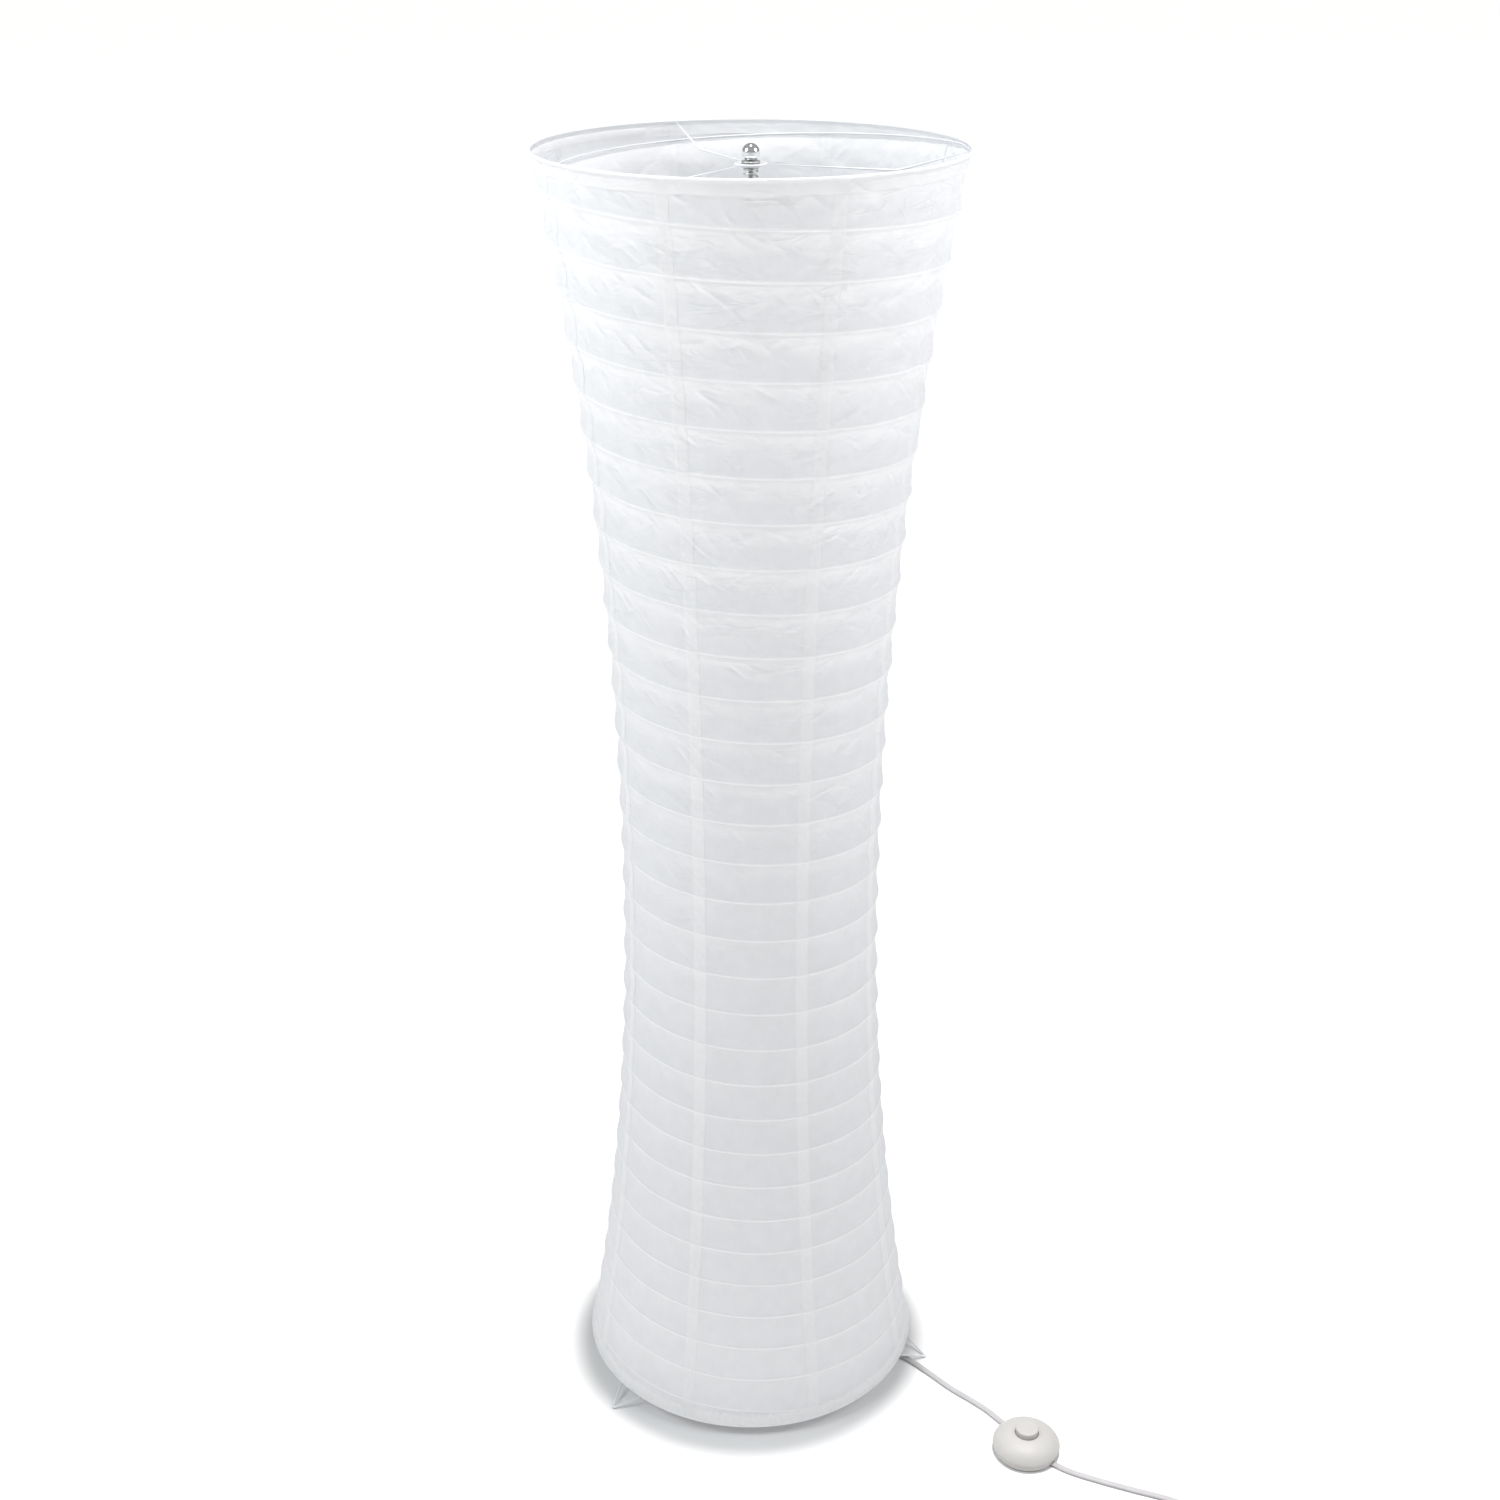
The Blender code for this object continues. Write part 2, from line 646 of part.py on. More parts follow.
def make_coil_tie():
    """A flat band once round the coil's section, at the coil's far side."""
    azimuth, half_width, band = 0.0, 0.003, 0.001
    holes = (COIL_INNER - GAP - 0.0003, COIL_OUTER + GAP, COIL_FLOOR - GAP, COIL_TOP + GAP)
    outsides = (holes[0] - band, holes[1] + band, holes[2] - band, holes[3] + band)
    bm = bmesh.new()
    loops = []
    for across in (-half_width, half_width):
        for near, far, low, high in (outsides, holes):
            corners = ((near, low), (far, low), (far, high), (near, high))
            loops.append(
                [
                    bm.verts.new(
                        (
                            COIL_CENTRE[0] + polar(azimuth, r, across)[0],
                            COIL_CENTRE[1] + polar(azimuth, r, across)[1],
                            z,
                        )
                    )
                    for r, z in corners
                ]
            )
    for one, two in ((0, 1), (1, 3), (3, 2), (2, 0)):
        for i in range(4):
            j = (i + 1) % 4
            bm.faces.new((loops[one][i], loops[one][j], loops[two][j], loops[two][i]))
    object_from("coil_tie", bm, holder_plastic())


# ---------------------------------------------------------------- foot switch
def make_switch():
    x, y = SWITCH_CENTRE
    floor_top, parting = 0.0020, 0.0078
    base = [
        (0.0, floor_top),
        (0.0260, floor_top),
        (0.0260, parting - GAP),
        (SWITCH_RADIUS - 0.0008, parting - GAP),
        (0.0312, 0.0035),
        (0.0288, 0.0),
        (0.0, 0.0),
    ]
    turned("switch_base", base, switch_plastic(), (x, y, 0.0), steps=24)
    throat = BUTTON_RADIUS + GAP
    cover = [
        (throat, 0.0222),
        (0.0175, 0.0215),
        (0.0235, 0.0193),
        (0.0285, 0.0158),
        (0.0315, 0.0118),
        (SWITCH_RADIUS, 0.0085),
        (SWITCH_RADIUS - 0.0004, parting),
        (0.0300, parting),
        (0.0280, 0.0125),
        (0.0235, 0.0165),
        (0.0170, 0.0195),
        (throat, 0.0202),
    ]
    turned("switch_cover", cover, switch_plastic(), (x, y, 0.0), steps=24)
    button = [
        (0.0, 0.0281),
        (BUTTON_RADIUS - 0.0010, 0.0281),
        (BUTTON_RADIUS, 0.0271),
        (BUTTON_RADIUS, 0.0120),
        (0.0040, 0.0120),
        (0.0040, 0.0090),
        (0.0, 0.0090),
    ]
    turned("switch_button", button, switch_plastic(), (x, y, 0.0), steps=20)
    wire, radius, steps, turns = 0.0004, 0.0070, 10, 3
    low, high = floor_top + GAP + wire, 0.0120 - GAP - wire
    path = [
        (2 * math.pi * i / steps, radius, low + (high - low) * i / (steps * turns))
        for i in range(steps * turns + 1)
    ]
    helix("switch_spring", path, wire, zinc(), centre=SWITCH_CENTRE)


# ---------------------------------------------------------------- plug
def make_plug():
    """A flat two-pin plug lying on the floor, its pins pointing along -X."""
    x, y = PLUG_BACK
    length, half_width, thickness, neck = 0.036, 0.0177, 0.0137, 0.0065
    outline = [
        (x, y - neck),
        (x, y + neck),
        (x - 0.010, y + 0.0095),
        (x - 0.020, y + half_width - 0.001),
        (x - length, y + half_width),
        (x - length, y - half_width),
        (x - 0.020, y - half_width + 0.001),
        (x - 0.010, y - 0.0095),
    ]
    body = prism("plug_body", outline, 0.0001, thickness, switch_plastic())
    bevel = body.modifiers.new("edges", "BEVEL")
    bevel.width = 0.0020
    bevel.segments = 2
    pin_length, pin_radius = 0.019, 0.002
    face = x - length - GAP - pin_length
    for number, side in enumerate((-1, 1), start=1):
        profile = [
            (0.0, 0.0),
            (pin_radius - 0.0008, 0.0),
            (pin_radius, 0.0010),
            (pin_radius, pin_length),
            (0.0, pin_length),
        ]
        place = (face, y + side * 0.0093, thickness / 2)
        turned(f"plug_pin_{number}", profile, zinc(), place, steps=10, axis="X")


def main():
    clear_scene()
    make_shade()
    make_spider()
    make_top_fittings()
    make_pole()
    make_base()
    for which in HOLDER_AZIMUTHS:
        make_bracket(which)
        make_holder_and_bulb(which)
    make_inner_wiring()
    make_cord_entry()
    make_cord()
    make_coil_tie()
    make_switch()
    make_plug()


main()
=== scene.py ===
"""Looks for the accordion paper floor lamp: paper gores on a spiral rib, spider, ball nut,
wire-footed base, lampholders and bulbs, and the flat mains cord with its foot switch."""
import math

import bmesh
import bpy
import numpy as np
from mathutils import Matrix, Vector


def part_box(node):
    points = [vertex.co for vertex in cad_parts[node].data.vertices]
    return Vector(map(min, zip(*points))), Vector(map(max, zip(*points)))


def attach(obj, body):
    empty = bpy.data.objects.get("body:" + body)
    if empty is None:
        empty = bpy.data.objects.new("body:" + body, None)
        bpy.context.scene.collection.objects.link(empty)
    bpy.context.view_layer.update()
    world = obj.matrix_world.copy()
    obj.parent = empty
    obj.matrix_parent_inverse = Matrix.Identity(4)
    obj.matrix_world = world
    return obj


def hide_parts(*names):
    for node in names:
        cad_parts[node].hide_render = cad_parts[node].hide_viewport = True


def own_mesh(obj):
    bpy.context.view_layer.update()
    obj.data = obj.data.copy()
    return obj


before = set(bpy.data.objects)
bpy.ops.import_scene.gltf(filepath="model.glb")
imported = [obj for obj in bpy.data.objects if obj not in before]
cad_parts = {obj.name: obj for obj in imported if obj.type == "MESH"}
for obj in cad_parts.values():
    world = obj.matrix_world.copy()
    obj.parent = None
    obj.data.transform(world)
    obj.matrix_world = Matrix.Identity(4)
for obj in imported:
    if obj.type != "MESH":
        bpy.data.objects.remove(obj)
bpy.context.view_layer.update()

# ---------------------------------------------------------------- sizes, in metres
RIM_WIRE, RING_WIRE, RIB_WIRE = 0.0013, 0.0012, 0.0007
RIM_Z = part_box("top_ring")[1].z - RIM_WIRE
TOP_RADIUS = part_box("top_ring")[1].x - RIM_WIRE
RING_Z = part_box("leg_right")[1].z + 0.0003 + RING_WIRE
BOTTOM_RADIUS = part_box("bottom_ring")[1].x - RING_WIRE
WAIST_RADIUS, WAIST_Z = 0.1208, 0.530
GORES, FIRST_SEAM = 8, math.radians(22.5)
TYPICAL_RADIUS = 0.15  # where one radius has to stand for the whole shade
SEAM_HALF = 0.0058  # half the width of a glued overlap
HEM = 0.0115  # paper turned in over the rim and the bottom ring

RIB_START, RIB_END = 0.236, 31.18  # turns; turn 1 is the first pass at the front
RIB_PITCH, RIB_FIRST_FRONT_Z = 0.03965, 1.1623
RIB_TIGHTENS_AT, RIB_TIGHTENING = 13.2, 0.000173
FULL_BAND = 0.038

EYE_Z, EYE_RADIUS, SPIDER_WIRE = 1.1855, 0.0124, 0.001
ARM_KINK_RADIUS, ARM_KINK_Z = 0.119, 1.1825
ARM_AZIMUTHS = {"back": 112.0, "left": 232.0, "right": 352.0}
BALL_RADIUS, BALL_Z = 0.0073, 1.1945

LEG_WIRE, LEG_HALF_GAP, LEG_INNER, TOE_RADIUS = 0.0012, 0.0135, 0.012, 0.1894
LEG_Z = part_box("leg_right")[1].z - LEG_WIRE
LEG_AZIMUTHS = {"leg_right": -16.8, "leg_back": 103.2, "leg_left": 223.2}
HOLDER_AZIMUTHS = {"lower": -16.8, "upper": 163.2}
HOLDER_OFFSET = 0.034

SWITCH_CENTRE, SWITCH_RADIUS = (0.2675, -0.1845), 0.0325
SWITCH_IN, SWITCH_OUT = math.radians(117.0), math.radians(-41.0)
CORD_WIDTH, CORD_THICKNESS, CORD_LENGTH = 0.0058, 0.0034, 1.80
CORD_Z = CORD_THICKNESS / 2 + 0.0001
COIL_CENTRE = (0.442, -0.328)
COIL_LANES = (0.0374, 0.0315, 0.0256)
COIL_LAYERS = (0.0030, 0.0067, 0.0104)
PLUG_BACK = (0.3840, -0.3654)


def polar(azimuth_degrees, along, across=0.0, height=0.0):
    a = math.radians(azimuth_degrees)
    x = along * math.cos(a) - across * math.sin(a)
    y = along * math.sin(a) + across * math.cos(a)
    return (x, y, height)


# ---------------------------------------------------------------- camera, floor, light
SOFTBOX_SIZE, SOFTBOX_AIM = 1.1, (0.0, 0.0, 1.1)
FLOOR_SIZE, FLOOR_ALBEDO, WORLD_STRENGTH = 120.0, 0.84, 0.37


def make_camera():
    data = bpy.data.cameras.new("camera")
    data.lens, data.sensor_width = 47.60, 36.0
    data.clip_start, data.clip_end = 0.05, 60.0
    camera = bpy.data.objects.new("camera", data)
    camera.location = (-0.0007, -1.6609, 1.4169)
    camera.rotation_euler = (math.radians(65.60), 0.0, 0.0)
    bpy.context.scene.collection.objects.link(camera)
    bpy.context.scene.camera = camera


def area_light(name, place, power, colour):
    data = bpy.data.lights.new(name, "AREA")
    data.shape, data.size, data.energy, data.color = "DISK", SOFTBOX_SIZE, power, colour
    light = bpy.data.objects.new(name, data)
    light.location = place
    direction = np.array(SOFTBOX_AIM, float) - np.array(place, float)
    light.rotation_mode = "QUATERNION"
    light.rotation_quaternion = Vector(direction).to_track_quat("-Z", "Y")
    bpy.context.scene.collection.objects.link(light)


def make_stage():
    scene = bpy.context.scene
    scene.view_settings.view_transform = "Standard"
    world = bpy.data.worlds.new("studio")
    scene.world = world
    world.use_nodes = True
    background = world.node_tree.nodes["Background"]
    background.inputs["Color"].default_value = (0.955, 0.98, 1.0, 1.0)
    background.inputs["Strength"].default_value = WORLD_STRENGTH

    area_light("left_box", (-1.6, -0.6, 2.1), 20.5, (0.94, 0.98, 1.0))
    area_light("right_box", (1.6, -0.5, 2.1), 16.0, (0.97, 0.985, 1.0))
    # almost straight down, and nearly parallel
    sun = bpy.data.lights.new("ceiling", "SUN")
    sun.energy, sun.angle, sun.color = 2.80, math.radians(1.5), (1.0, 0.975, 0.95)
    ceiling = bpy.data.objects.new("ceiling", sun)
    ceiling.rotation_euler = (math.radians(-0.75), math.radians(0.15), 0.0)
    scene.collection.objects.link(ceiling)

    bpy.ops.mesh.primitive_plane_add(size=FLOOR_SIZE, location=(0.0, 0.0, 0.0))
    floor = bpy.context.object
    floor.name = "floor"
    mat = bpy.data.materials.new("floor_white")
    mat.use_nodes = True
    shader = mat.node_tree.nodes["Principled BSDF"]
    shader.inputs["Base Color"].default_value = (*[FLOOR_ALBEDO] * 3, 1.0)
    shader.inputs["Roughness"].default_value = 0.8
    shader.inputs["Specular IOR Level"].default_value = 0.1
    floor.data.materials.append(mat)


make_camera()
make_stage()


# ---------------------------------------------------------------- materials
class Surface:
    """One material's node tree, with short calls for the few nodes that it needs."""

    def __init__(self, name, colour, roughness, metallic=0.0, specular=0.5):
        self.mat = bpy.data.materials.new(name)
        self.mat.use_nodes = True
        tree = self.mat.node_tree
        self.nodes, self.links = tree.nodes, tree.links
        self.shader = self.nodes["Principled BSDF"]
        self.shader.inputs["Base Color"].default_value = (*colour, 1.0)
        self.shader.inputs["Roughness"].default_value = roughness
        self.shader.inputs["Metallic"].default_value = metallic
        self.shader.inputs["Specular IOR Level"].default_value = specular
        self.place = self.nodes.new("ShaderNodeTexCoord").outputs["Object"]

    def stretched(self, scale, turn=(0.0, 0.0, 0.0)):
        mapping = self.nodes.new("ShaderNodeMapping")
        mapping.inputs["Scale"].default_value = scale
        mapping.inputs["Rotation"].default_value = turn
        self.links.new(self.place, mapping.inputs["Vector"])
        return mapping.outputs["Vector"]

    def noise(self, scale, detail=3.0, vector=None, roughness=0.5):
        node = self.nodes.new("ShaderNodeTexNoise")
        node.inputs["Scale"].default_value = scale
        node.inputs["Detail"].default_value = detail
        node.inputs["Roughness"].default_value = roughness
        self.links.new(vector or self.place, node.inputs["Vector"])
        return node.outputs["Fac"]

    def between(self, value, low_in, high_in, low_out=0.0, high_out=1.0):
        node = self.nodes.new("ShaderNodeMapRange")
        for name, number in zip(
            ("From Min", "From Max", "To Min", "To Max"), (low_in, high_in, low_out, high_out)
        ):
            node.inputs[name].default_value = number
        self.links.new(value, node.inputs["Value"])
        return node.outputs["Result"]

    def math(self, operation, one, two):
        node = self.nodes.new("ShaderNodeMath")
        node.operation = operation
        for socket, value in zip(node.inputs, (one, two)):
            if isinstance(value, (int, float)):
                socket.default_value = value
            else:
                self.links.new(value, socket)
        return node.outputs[0]

    def colours(self, value, low, high):
        node = self.nodes.new("ShaderNodeMix")
        node.data_type = "RGBA"
        node.inputs["A"].default_value = (*low, 1.0)
        node.inputs["B"].default_value = (*high, 1.0)
        self.links.new(value, node.inputs["Factor"])
        return node.outputs["Result"]

    def to(self, socket, value):
        self.links.new(value, self.shader.inputs[socket])

    def bump(self, height, strength, distance, after=None):
        node = self.nodes.new("ShaderNodeBump")
        node.inputs["Strength"].default_value = strength
        node.inputs["Distance"].default_value = distance
        self.links.new(height, node.inputs["Height"])
        if after:
            self.links.new(after, node.inputs["Normal"])
        self.to("Normal", node.outputs["Normal"])
        return node.outputs["Normal"]


def paper_material():
    """Thin rice paper: matt, lets part of the light through, whiter where it is doubled, and whiter
    along each rib, where a highlight is painted.
    """
    s = Surface("rice_paper", (0.9, 0.9, 0.9), 0.88, specular=0.15)
    layers_and_rib_highlight = s.nodes.new("ShaderNodeAttribute")
    layers_and_rib_highlight.attribute_name = "layers_and_rib_highlight"
    doubled_and_rib_highlight = layers_and_rib_highlight.outputs["Fac"]
    cloud = s.noise(70.0, 4.0)
    threads = s.noise(1.0, 5.0, s.stretched((420.0, 420.0, 60.0), (0.5, 0.3, 0.2)), 0.6)
    cross = s.noise(1.0, 5.0, s.stretched((300.0, 300.0, 80.0), (-0.9, 0.4, 0.7)), 0.6)
    fibre = s.math("MULTIPLY", s.math("ADD", threads, cross), 0.5)
    mottle = s.math("ADD", s.math("MULTIPLY", cloud, 0.6), s.math("MULTIPLY", fibre, 0.4))
    single = s.colours(
        s.between(mottle, 0.35, 0.65), (0.850, 0.856, 0.872), (0.888, 0.894, 0.910)
    )
    # whiter where the paper is doubled at seams and hems, and along each rib, where the whitening
    # is a painted highlight
    mix = s.nodes.new("ShaderNodeMix")
    mix.data_type = "RGBA"
    mix.inputs["B"].default_value = (0.990, 0.990, 0.992, 1.0)
    s.links.new(doubled_and_rib_highlight, mix.inputs["Factor"])
    s.links.new(single, mix.inputs["A"])
    s.to("Base Color", mix.outputs["Result"])
    s.to("Roughness", s.between(fibre, 0.3, 0.7, 0.80, 0.95))

    # sharp folds pressed into the paper, strongest near the top of the shade
    folds = []
    for scale, turn in (((24.0, 24.0, 85.0), 0.60), ((21.0, 21.0, 70.0), -0.48)):
        value = s.noise(1.0, 1.0, s.stretched(scale, (turn, turn, 0.0)), 0.4)
        crease = s.math("ABSOLUTE", s.math("SUBTRACT", value, 0.5), 0.0)
        folds.append(s.between(crease, 0.0, 0.050, 1.0, 0.0))
    patches = s.between(s.noise(18.0, 2.0), 0.38, 0.60)
    height = s.nodes.new("ShaderNodeSeparateXYZ")
    s.links.new(s.place, height.inputs[0])
    high = s.between(height.outputs["Z"], 0.35, 1.10, 0.12, 1.0)
    front = s.between(height.outputs["Y"], 0.0, 0.10, 1.0, 0.25)
    patches = s.math("MULTIPLY", patches, front)
    pressed = s.math("MULTIPLY", s.math("MAXIMUM", *folds), s.math("MULTIPLY", patches, high))

    rough = s.bump(fibre, 0.36, 0.0004)
    creased = s.bump(pressed, 0.42, 0.0008, rough)
    normal = s.bump(s.noise(900.0, 3.0), 0.12, 0.0002, creased)
    glow = s.nodes.new("ShaderNodeBsdfTranslucent")
    s.links.new(mix.outputs["Result"], glow.inputs["Color"])
    s.links.new(normal, glow.inputs["Normal"])
    both = s.nodes.new("ShaderNodeMixShader")
    s.links.new(s.between(doubled_and_rib_highlight, 0.0, 1.0, 0.26, 0.16), both.inputs["Fac"])
    s.links.new(s.shader.outputs[0], both.inputs[1])
    s.links.new(glow.outputs[0], both.inputs[2])
    s.links.new(both.outputs[0], s.nodes["Material Output"].inputs["Surface"])
    return s.mat


def coated_material(name, colour, roughness, grain, strength):
    """Paint, powder coat or moulded plastic: a fine grain in the bump, and faint clouding."""
    s = Surface(name, colour, roughness)
    cloud = s.between(s.noise(25.0, 4.0), 0.3, 0.7)
    s.to("Base Color", s.colours(cloud, tuple(c * 0.965 for c in colour), colour))
    s.to("Roughness", s.between(s.noise(140.0, 3.0), 0.3, 0.7, roughness - 0.05, roughness + 0.07))
    s.bump(s.noise(grain, 2.0), strength, 0.0002)
    return s.mat


def metal_material(name, colour, roughness, stretch, spread):
    """Bare or plated metal: streaks in the roughness and a trace of tarnish."""
    s = Surface(name, colour, roughness, 1.0)
    tarnish = s.between(s.noise(120.0, 4.0), 0.35, 0.7)
    s.to("Base Color", s.colours(tarnish, colour, tuple(c * 0.88 for c in colour)))
    streaks = s.noise(1.0, 3.0, s.stretched(stretch))
    least = max(0.02, roughness - spread)
    s.to("Roughness", s.between(streaks, 0.3, 0.7, least, roughness + spread))
    s.bump(streaks, 0.08, 0.0001)
    return s.mat


def cord_material():
    """Soft PVC: faint long draw lines, a slight lilac grey."""
    s = Surface("cord_pvc", (0.46, 0.45, 0.465), 0.45, specular=0.35)
    cloud = s.between(s.noise(35.0, 4.0), 0.3, 0.7)
    s.to("Base Color", s.colours(cloud, (0.440, 0.430, 0.445), (0.490, 0.480, 0.495)))
    s.to("Roughness", s.between(s.noise(220.0, 3.0), 0.3, 0.7, 0.36, 0.50))
    s.bump(s.noise(700.0, 2.0), 0.10, 0.0002)
    return s.mat


def opal_material():
    s = Surface("opal_glass", (0.93, 0.93, 0.91), 0.16, specular=0.6)
    s.shader.inputs["Subsurface Weight"].default_value = 0.35
    s.shader.inputs["Subsurface Scale"].default_value = 0.004
    s.shader.inputs["Coat Weight"].default_value = 0.4
    cloud = s.between(s.noise(60.0, 2.0), 0.3, 0.7)
    s.to("Base Color", s.colours(cloud, (0.91, 0.91, 0.885), (0.95, 0.95, 0.935)))
    s.to("Roughness", s.between(s.noise(90.0, 2.0), 0.3, 0.7, 0.12, 0.20))
    return s.mat


PAPER = paper_material()
WIRE = coated_material("coated_wire", (0.80, 0.815, 0.845), 0.34, 900.0, 0.06)
POWDER = coated_material("powder_coat", (0.66, 0.66, 0.65), 0.45, 1400.0, 0.25)
HOLDER = coated_material("holder_thermoplastic", (0.62, 0.62, 0.59), 0.38, 1100.0, 0.10)
SWITCH = coated_material("switch_plastic", (0.500, 0.487, 0.473), 0.48, 1500.0, 0.22)
ZINC = metal_material("zinc_plate", (0.72, 0.72, 0.71), 0.34, (60.0, 60.0, 900.0), 0.10)
CHROME = metal_material("chrome_plate", (0.94, 0.94, 0.945), 0.06, (80.0, 80.0, 80.0), 0.02)
CAP = metal_material("bulb_cap_aluminium", (0.74, 0.74, 0.74), 0.32, (80.0, 80.0, 700.0), 0.08)
NICKEL = metal_material("nickel_pins", (0.72, 0.69, 0.62), 0.22, (700.0, 60.0, 60.0), 0.08)
CORD = cord_material()
OPAL = opal_material()


def store_layers(mesh, values):
    """How far each point is doubled paper, from 0 to 1, with the painted highlight along each rib
    in the same values, which paper_material reads.
    """
    attribute = mesh.attributes.new("layers_and_rib_highlight", "FLOAT", "POINT")
    attribute.data.foreach_set("value", np.asarray(values, np.float32).ravel())


def place_piece(name, mesh, mat, nodes=(), body="lamp"):
    obj = bpy.data.objects.new(name, mesh)
    bpy.context.scene.collection.objects.link(obj)
    obj.data.materials.append(mat)
    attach(obj, body)
    if nodes:
        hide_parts(*nodes)
    return obj


def mesh_from(name, points, faces, sharp=40.0, outward=True):
    mesh = bpy.data.meshes.new(name)
    mesh.from_pydata([tuple(map(float, p)) for p in points], [], faces)
    if outward:
        bm = bmesh.new()
        bm.from_mesh(mesh)
        bmesh.ops.recalc_face_normals(bm, faces=bm.faces)
        bm.to_mesh(mesh)
        bm.free()
    mesh.shade_smooth()
    mesh.set_sharp_from_angle(angle=math.radians(sharp))
    return mesh


def rounded_corner(a, b, c, radius, most, steps):
    """A curve that cuts corner b off, up to a share (most) of its shorter side."""
    back, on = a - b, c - b
    cut = min(radius, most * np.linalg.norm(back), most * np.linalg.norm(on))
    start = b + cut * back / np.linalg.norm(back)
    end = b + cut * on / np.linalg.norm(on)
    shares = np.linspace(0.0, 1.0, steps + 1)
    return [(1 - t) ** 2 * start + 2 * t * (1 - t) * b + t**2 * end for t in shares]


def softened(profile, radius):
    """The corners of a closed (radius, height) outline rounded, except those on the axis."""
    made = []
    count = len(profile)
    for i, corner in enumerate(profile):
        b = np.array(corner, float)
        a, c = (np.array(profile[(i + k) % count], float) for k in (-1, 1))
        if b[0] < 1e-6 or radius == 0.0:
            made.append(tuple(b))
            continue
        made += map(tuple, rounded_corner(a, b, c, radius, most=0.45, steps=3))
    return made


def lathe_mesh(
    name, profile, centre=(0.0, 0.0, 0.0), steps=64, soft=0.0003, sharp=50.0, hexed=None
):
    """A turned solid. hexed, a radius, makes everything beyond it a hexagon."""
    profile = softened(profile, soft)
    x, y, z = centre
    points, rings, faces = [], [], []
    for radius, height in profile:
        if radius < 1e-7:
            rings.append([len(points)])
            points.append((x, y, z + height))
            continue
        ring = []
        for k in range(steps):
            a = 2 * math.pi * k / steps
            r = radius
            if hexed and radius > hexed:
                flat = (a % (math.pi / 3)) - math.pi / 6
                r = radius * math.cos(math.pi / 6) / math.cos(flat)
            ring.append(len(points))
            points.append((x + r * math.cos(a), y + r * math.sin(a), z + height))
        rings.append(ring)
    for one, two in zip(rings, rings[1:] + rings[:1]):
        if len(one) == 1 and len(two) == 1:
            continue
        for k in range(steps):
            j = (k + 1) % steps
            corners = [one[k % len(one)], one[j % len(one)], two[j % len(two)], two[k % len(two)]]
            faces.append(list(dict.fromkeys(corners)))
    return mesh_from(name, points, faces, sharp)


def lathe(name, profile, mat, slot, nodes, body="lamp", **shape):
    return place_piece(name, lathe_mesh(name, profile, **shape), mat, nodes, body)


def washer_profile(inner, outer, bottom, top):
    return [(outer, top), (outer, bottom), (inner, bottom), (inner, top)]


def round_section(radius, sides):
    turns = [2 * math.pi * k / sides for k in range(sides)]
    return [(radius * math.cos(a), radius * math.sin(a)) for a in turns]


def ring_faces(rings, sides, closed=False):
    """Quads between rings of points that follow one another, and a cap on each open end."""
    faces = []
    for i in range(rings if closed else rings - 1):
        one, two = i * sides, ((i + 1) % rings) * sides
        for k in range(sides):
            j = (k + 1) % sides
            faces.append((one + k, one + j, two + j, two + k))
    if not closed:
        faces.append(tuple(range(sides))[::-1])
        faces.append(tuple(range((rings - 1) * sides, rings * sides)))
    return faces


def swept_mesh(name, path, section, closed=False, fixed_up=True, round_ends=0.0):
    """A section (across, up) carried along a path. With fixed_up the section stays level,
    and otherwise it turns as little as it can."""
    path = np.array(path, float)
    if closed:
        tangents = np.roll(path, -1, 0) - np.roll(path, 1, 0)
    else:
        tangents = np.gradient(path, axis=0)
    tangents /= np.linalg.norm(tangents, axis=1)[:, None]
    up = normal = np.array((0.0, 0.0, 1.0))
    section = np.array(section, float)
    rings = []
    for point, along in zip(path, tangents):
        if fixed_up:
            normal = up
        normal = normal - (normal @ along) * along
        normal /= np.linalg.norm(normal)
        across = np.cross(along, normal)
        size = 1.0
        if round_ends and not closed:
            from_end = min(np.linalg.norm(point - path[0]), np.linalg.norm(path[-1] - point))
            if from_end < round_ends:
                size = math.sqrt(max(0.04, 1 - (1 - from_end / round_ends) ** 2))
        rings.append(point + size * (section[:, :1] * across + section[:, 1:] * normal))
    faces = ring_faces(len(path), len(section), closed)
    return mesh_from(name, np.concatenate(rings), faces, 50.0)


def wire_piece(
    name, path, radius, mat, nodes, body="lamp", sides=12, closed=False, ends=0.0
):
    mesh = swept_mesh(
        name, path, round_section(radius, sides), closed=closed, fixed_up=False, round_ends=ends
    )
    return place_piece(name, mesh, mat, nodes, body)


def ring_path(radius, height):
    turns = np.linspace(0.0, 2 * math.pi, 256, endpoint=False)
    x, y = radius * np.cos(turns), radius * np.sin(turns)
    return np.stack([x, y, np.full_like(turns, height)], axis=1)


def smooth_route(route, spacing):
    """Evenly spaced points on a Catmull-Rom curve through the route's own points."""
    route = [np.array(p, float) for p in route]
    ends = [2 * route[0] - route[1], *route, 2 * route[-1] - route[-2]]
    fine = [route[0]]
    for a, b, c, d in zip(ends, ends[1:], ends[2:], ends[3:]):
        for t in np.linspace(0.0, 1.0, 33)[1:]:
            cubic = (3 * b - a - 3 * c + d) * t**3 + (2 * a - 5 * b + 4 * c - d) * t**2
            fine.append(0.5 * (2 * b + (c - a) * t + cubic))
    fine = np.array(fine)
    run = np.concatenate([[0.0], np.cumsum(np.linalg.norm(np.diff(fine, axis=0), axis=1))])
    stops = np.linspace(0.0, run[-1], max(2, round(run[-1] / spacing) + 1))
    return np.stack([np.interp(stops, run, fine[:, k]) for k in range(3)], axis=1)


def bent_wire(corners, radius):
    """Straight runs between corners, with each corner rounded to about the radius given."""
    corners = [np.array(p, float) for p in corners]
    points = [corners[0]]
    for a, b, c in zip(corners, corners[1:], corners[2:]):
        points += rounded_corner(a, b, c, radius, most=0.4, steps=8)
    return np.array([*points, corners[-1]])


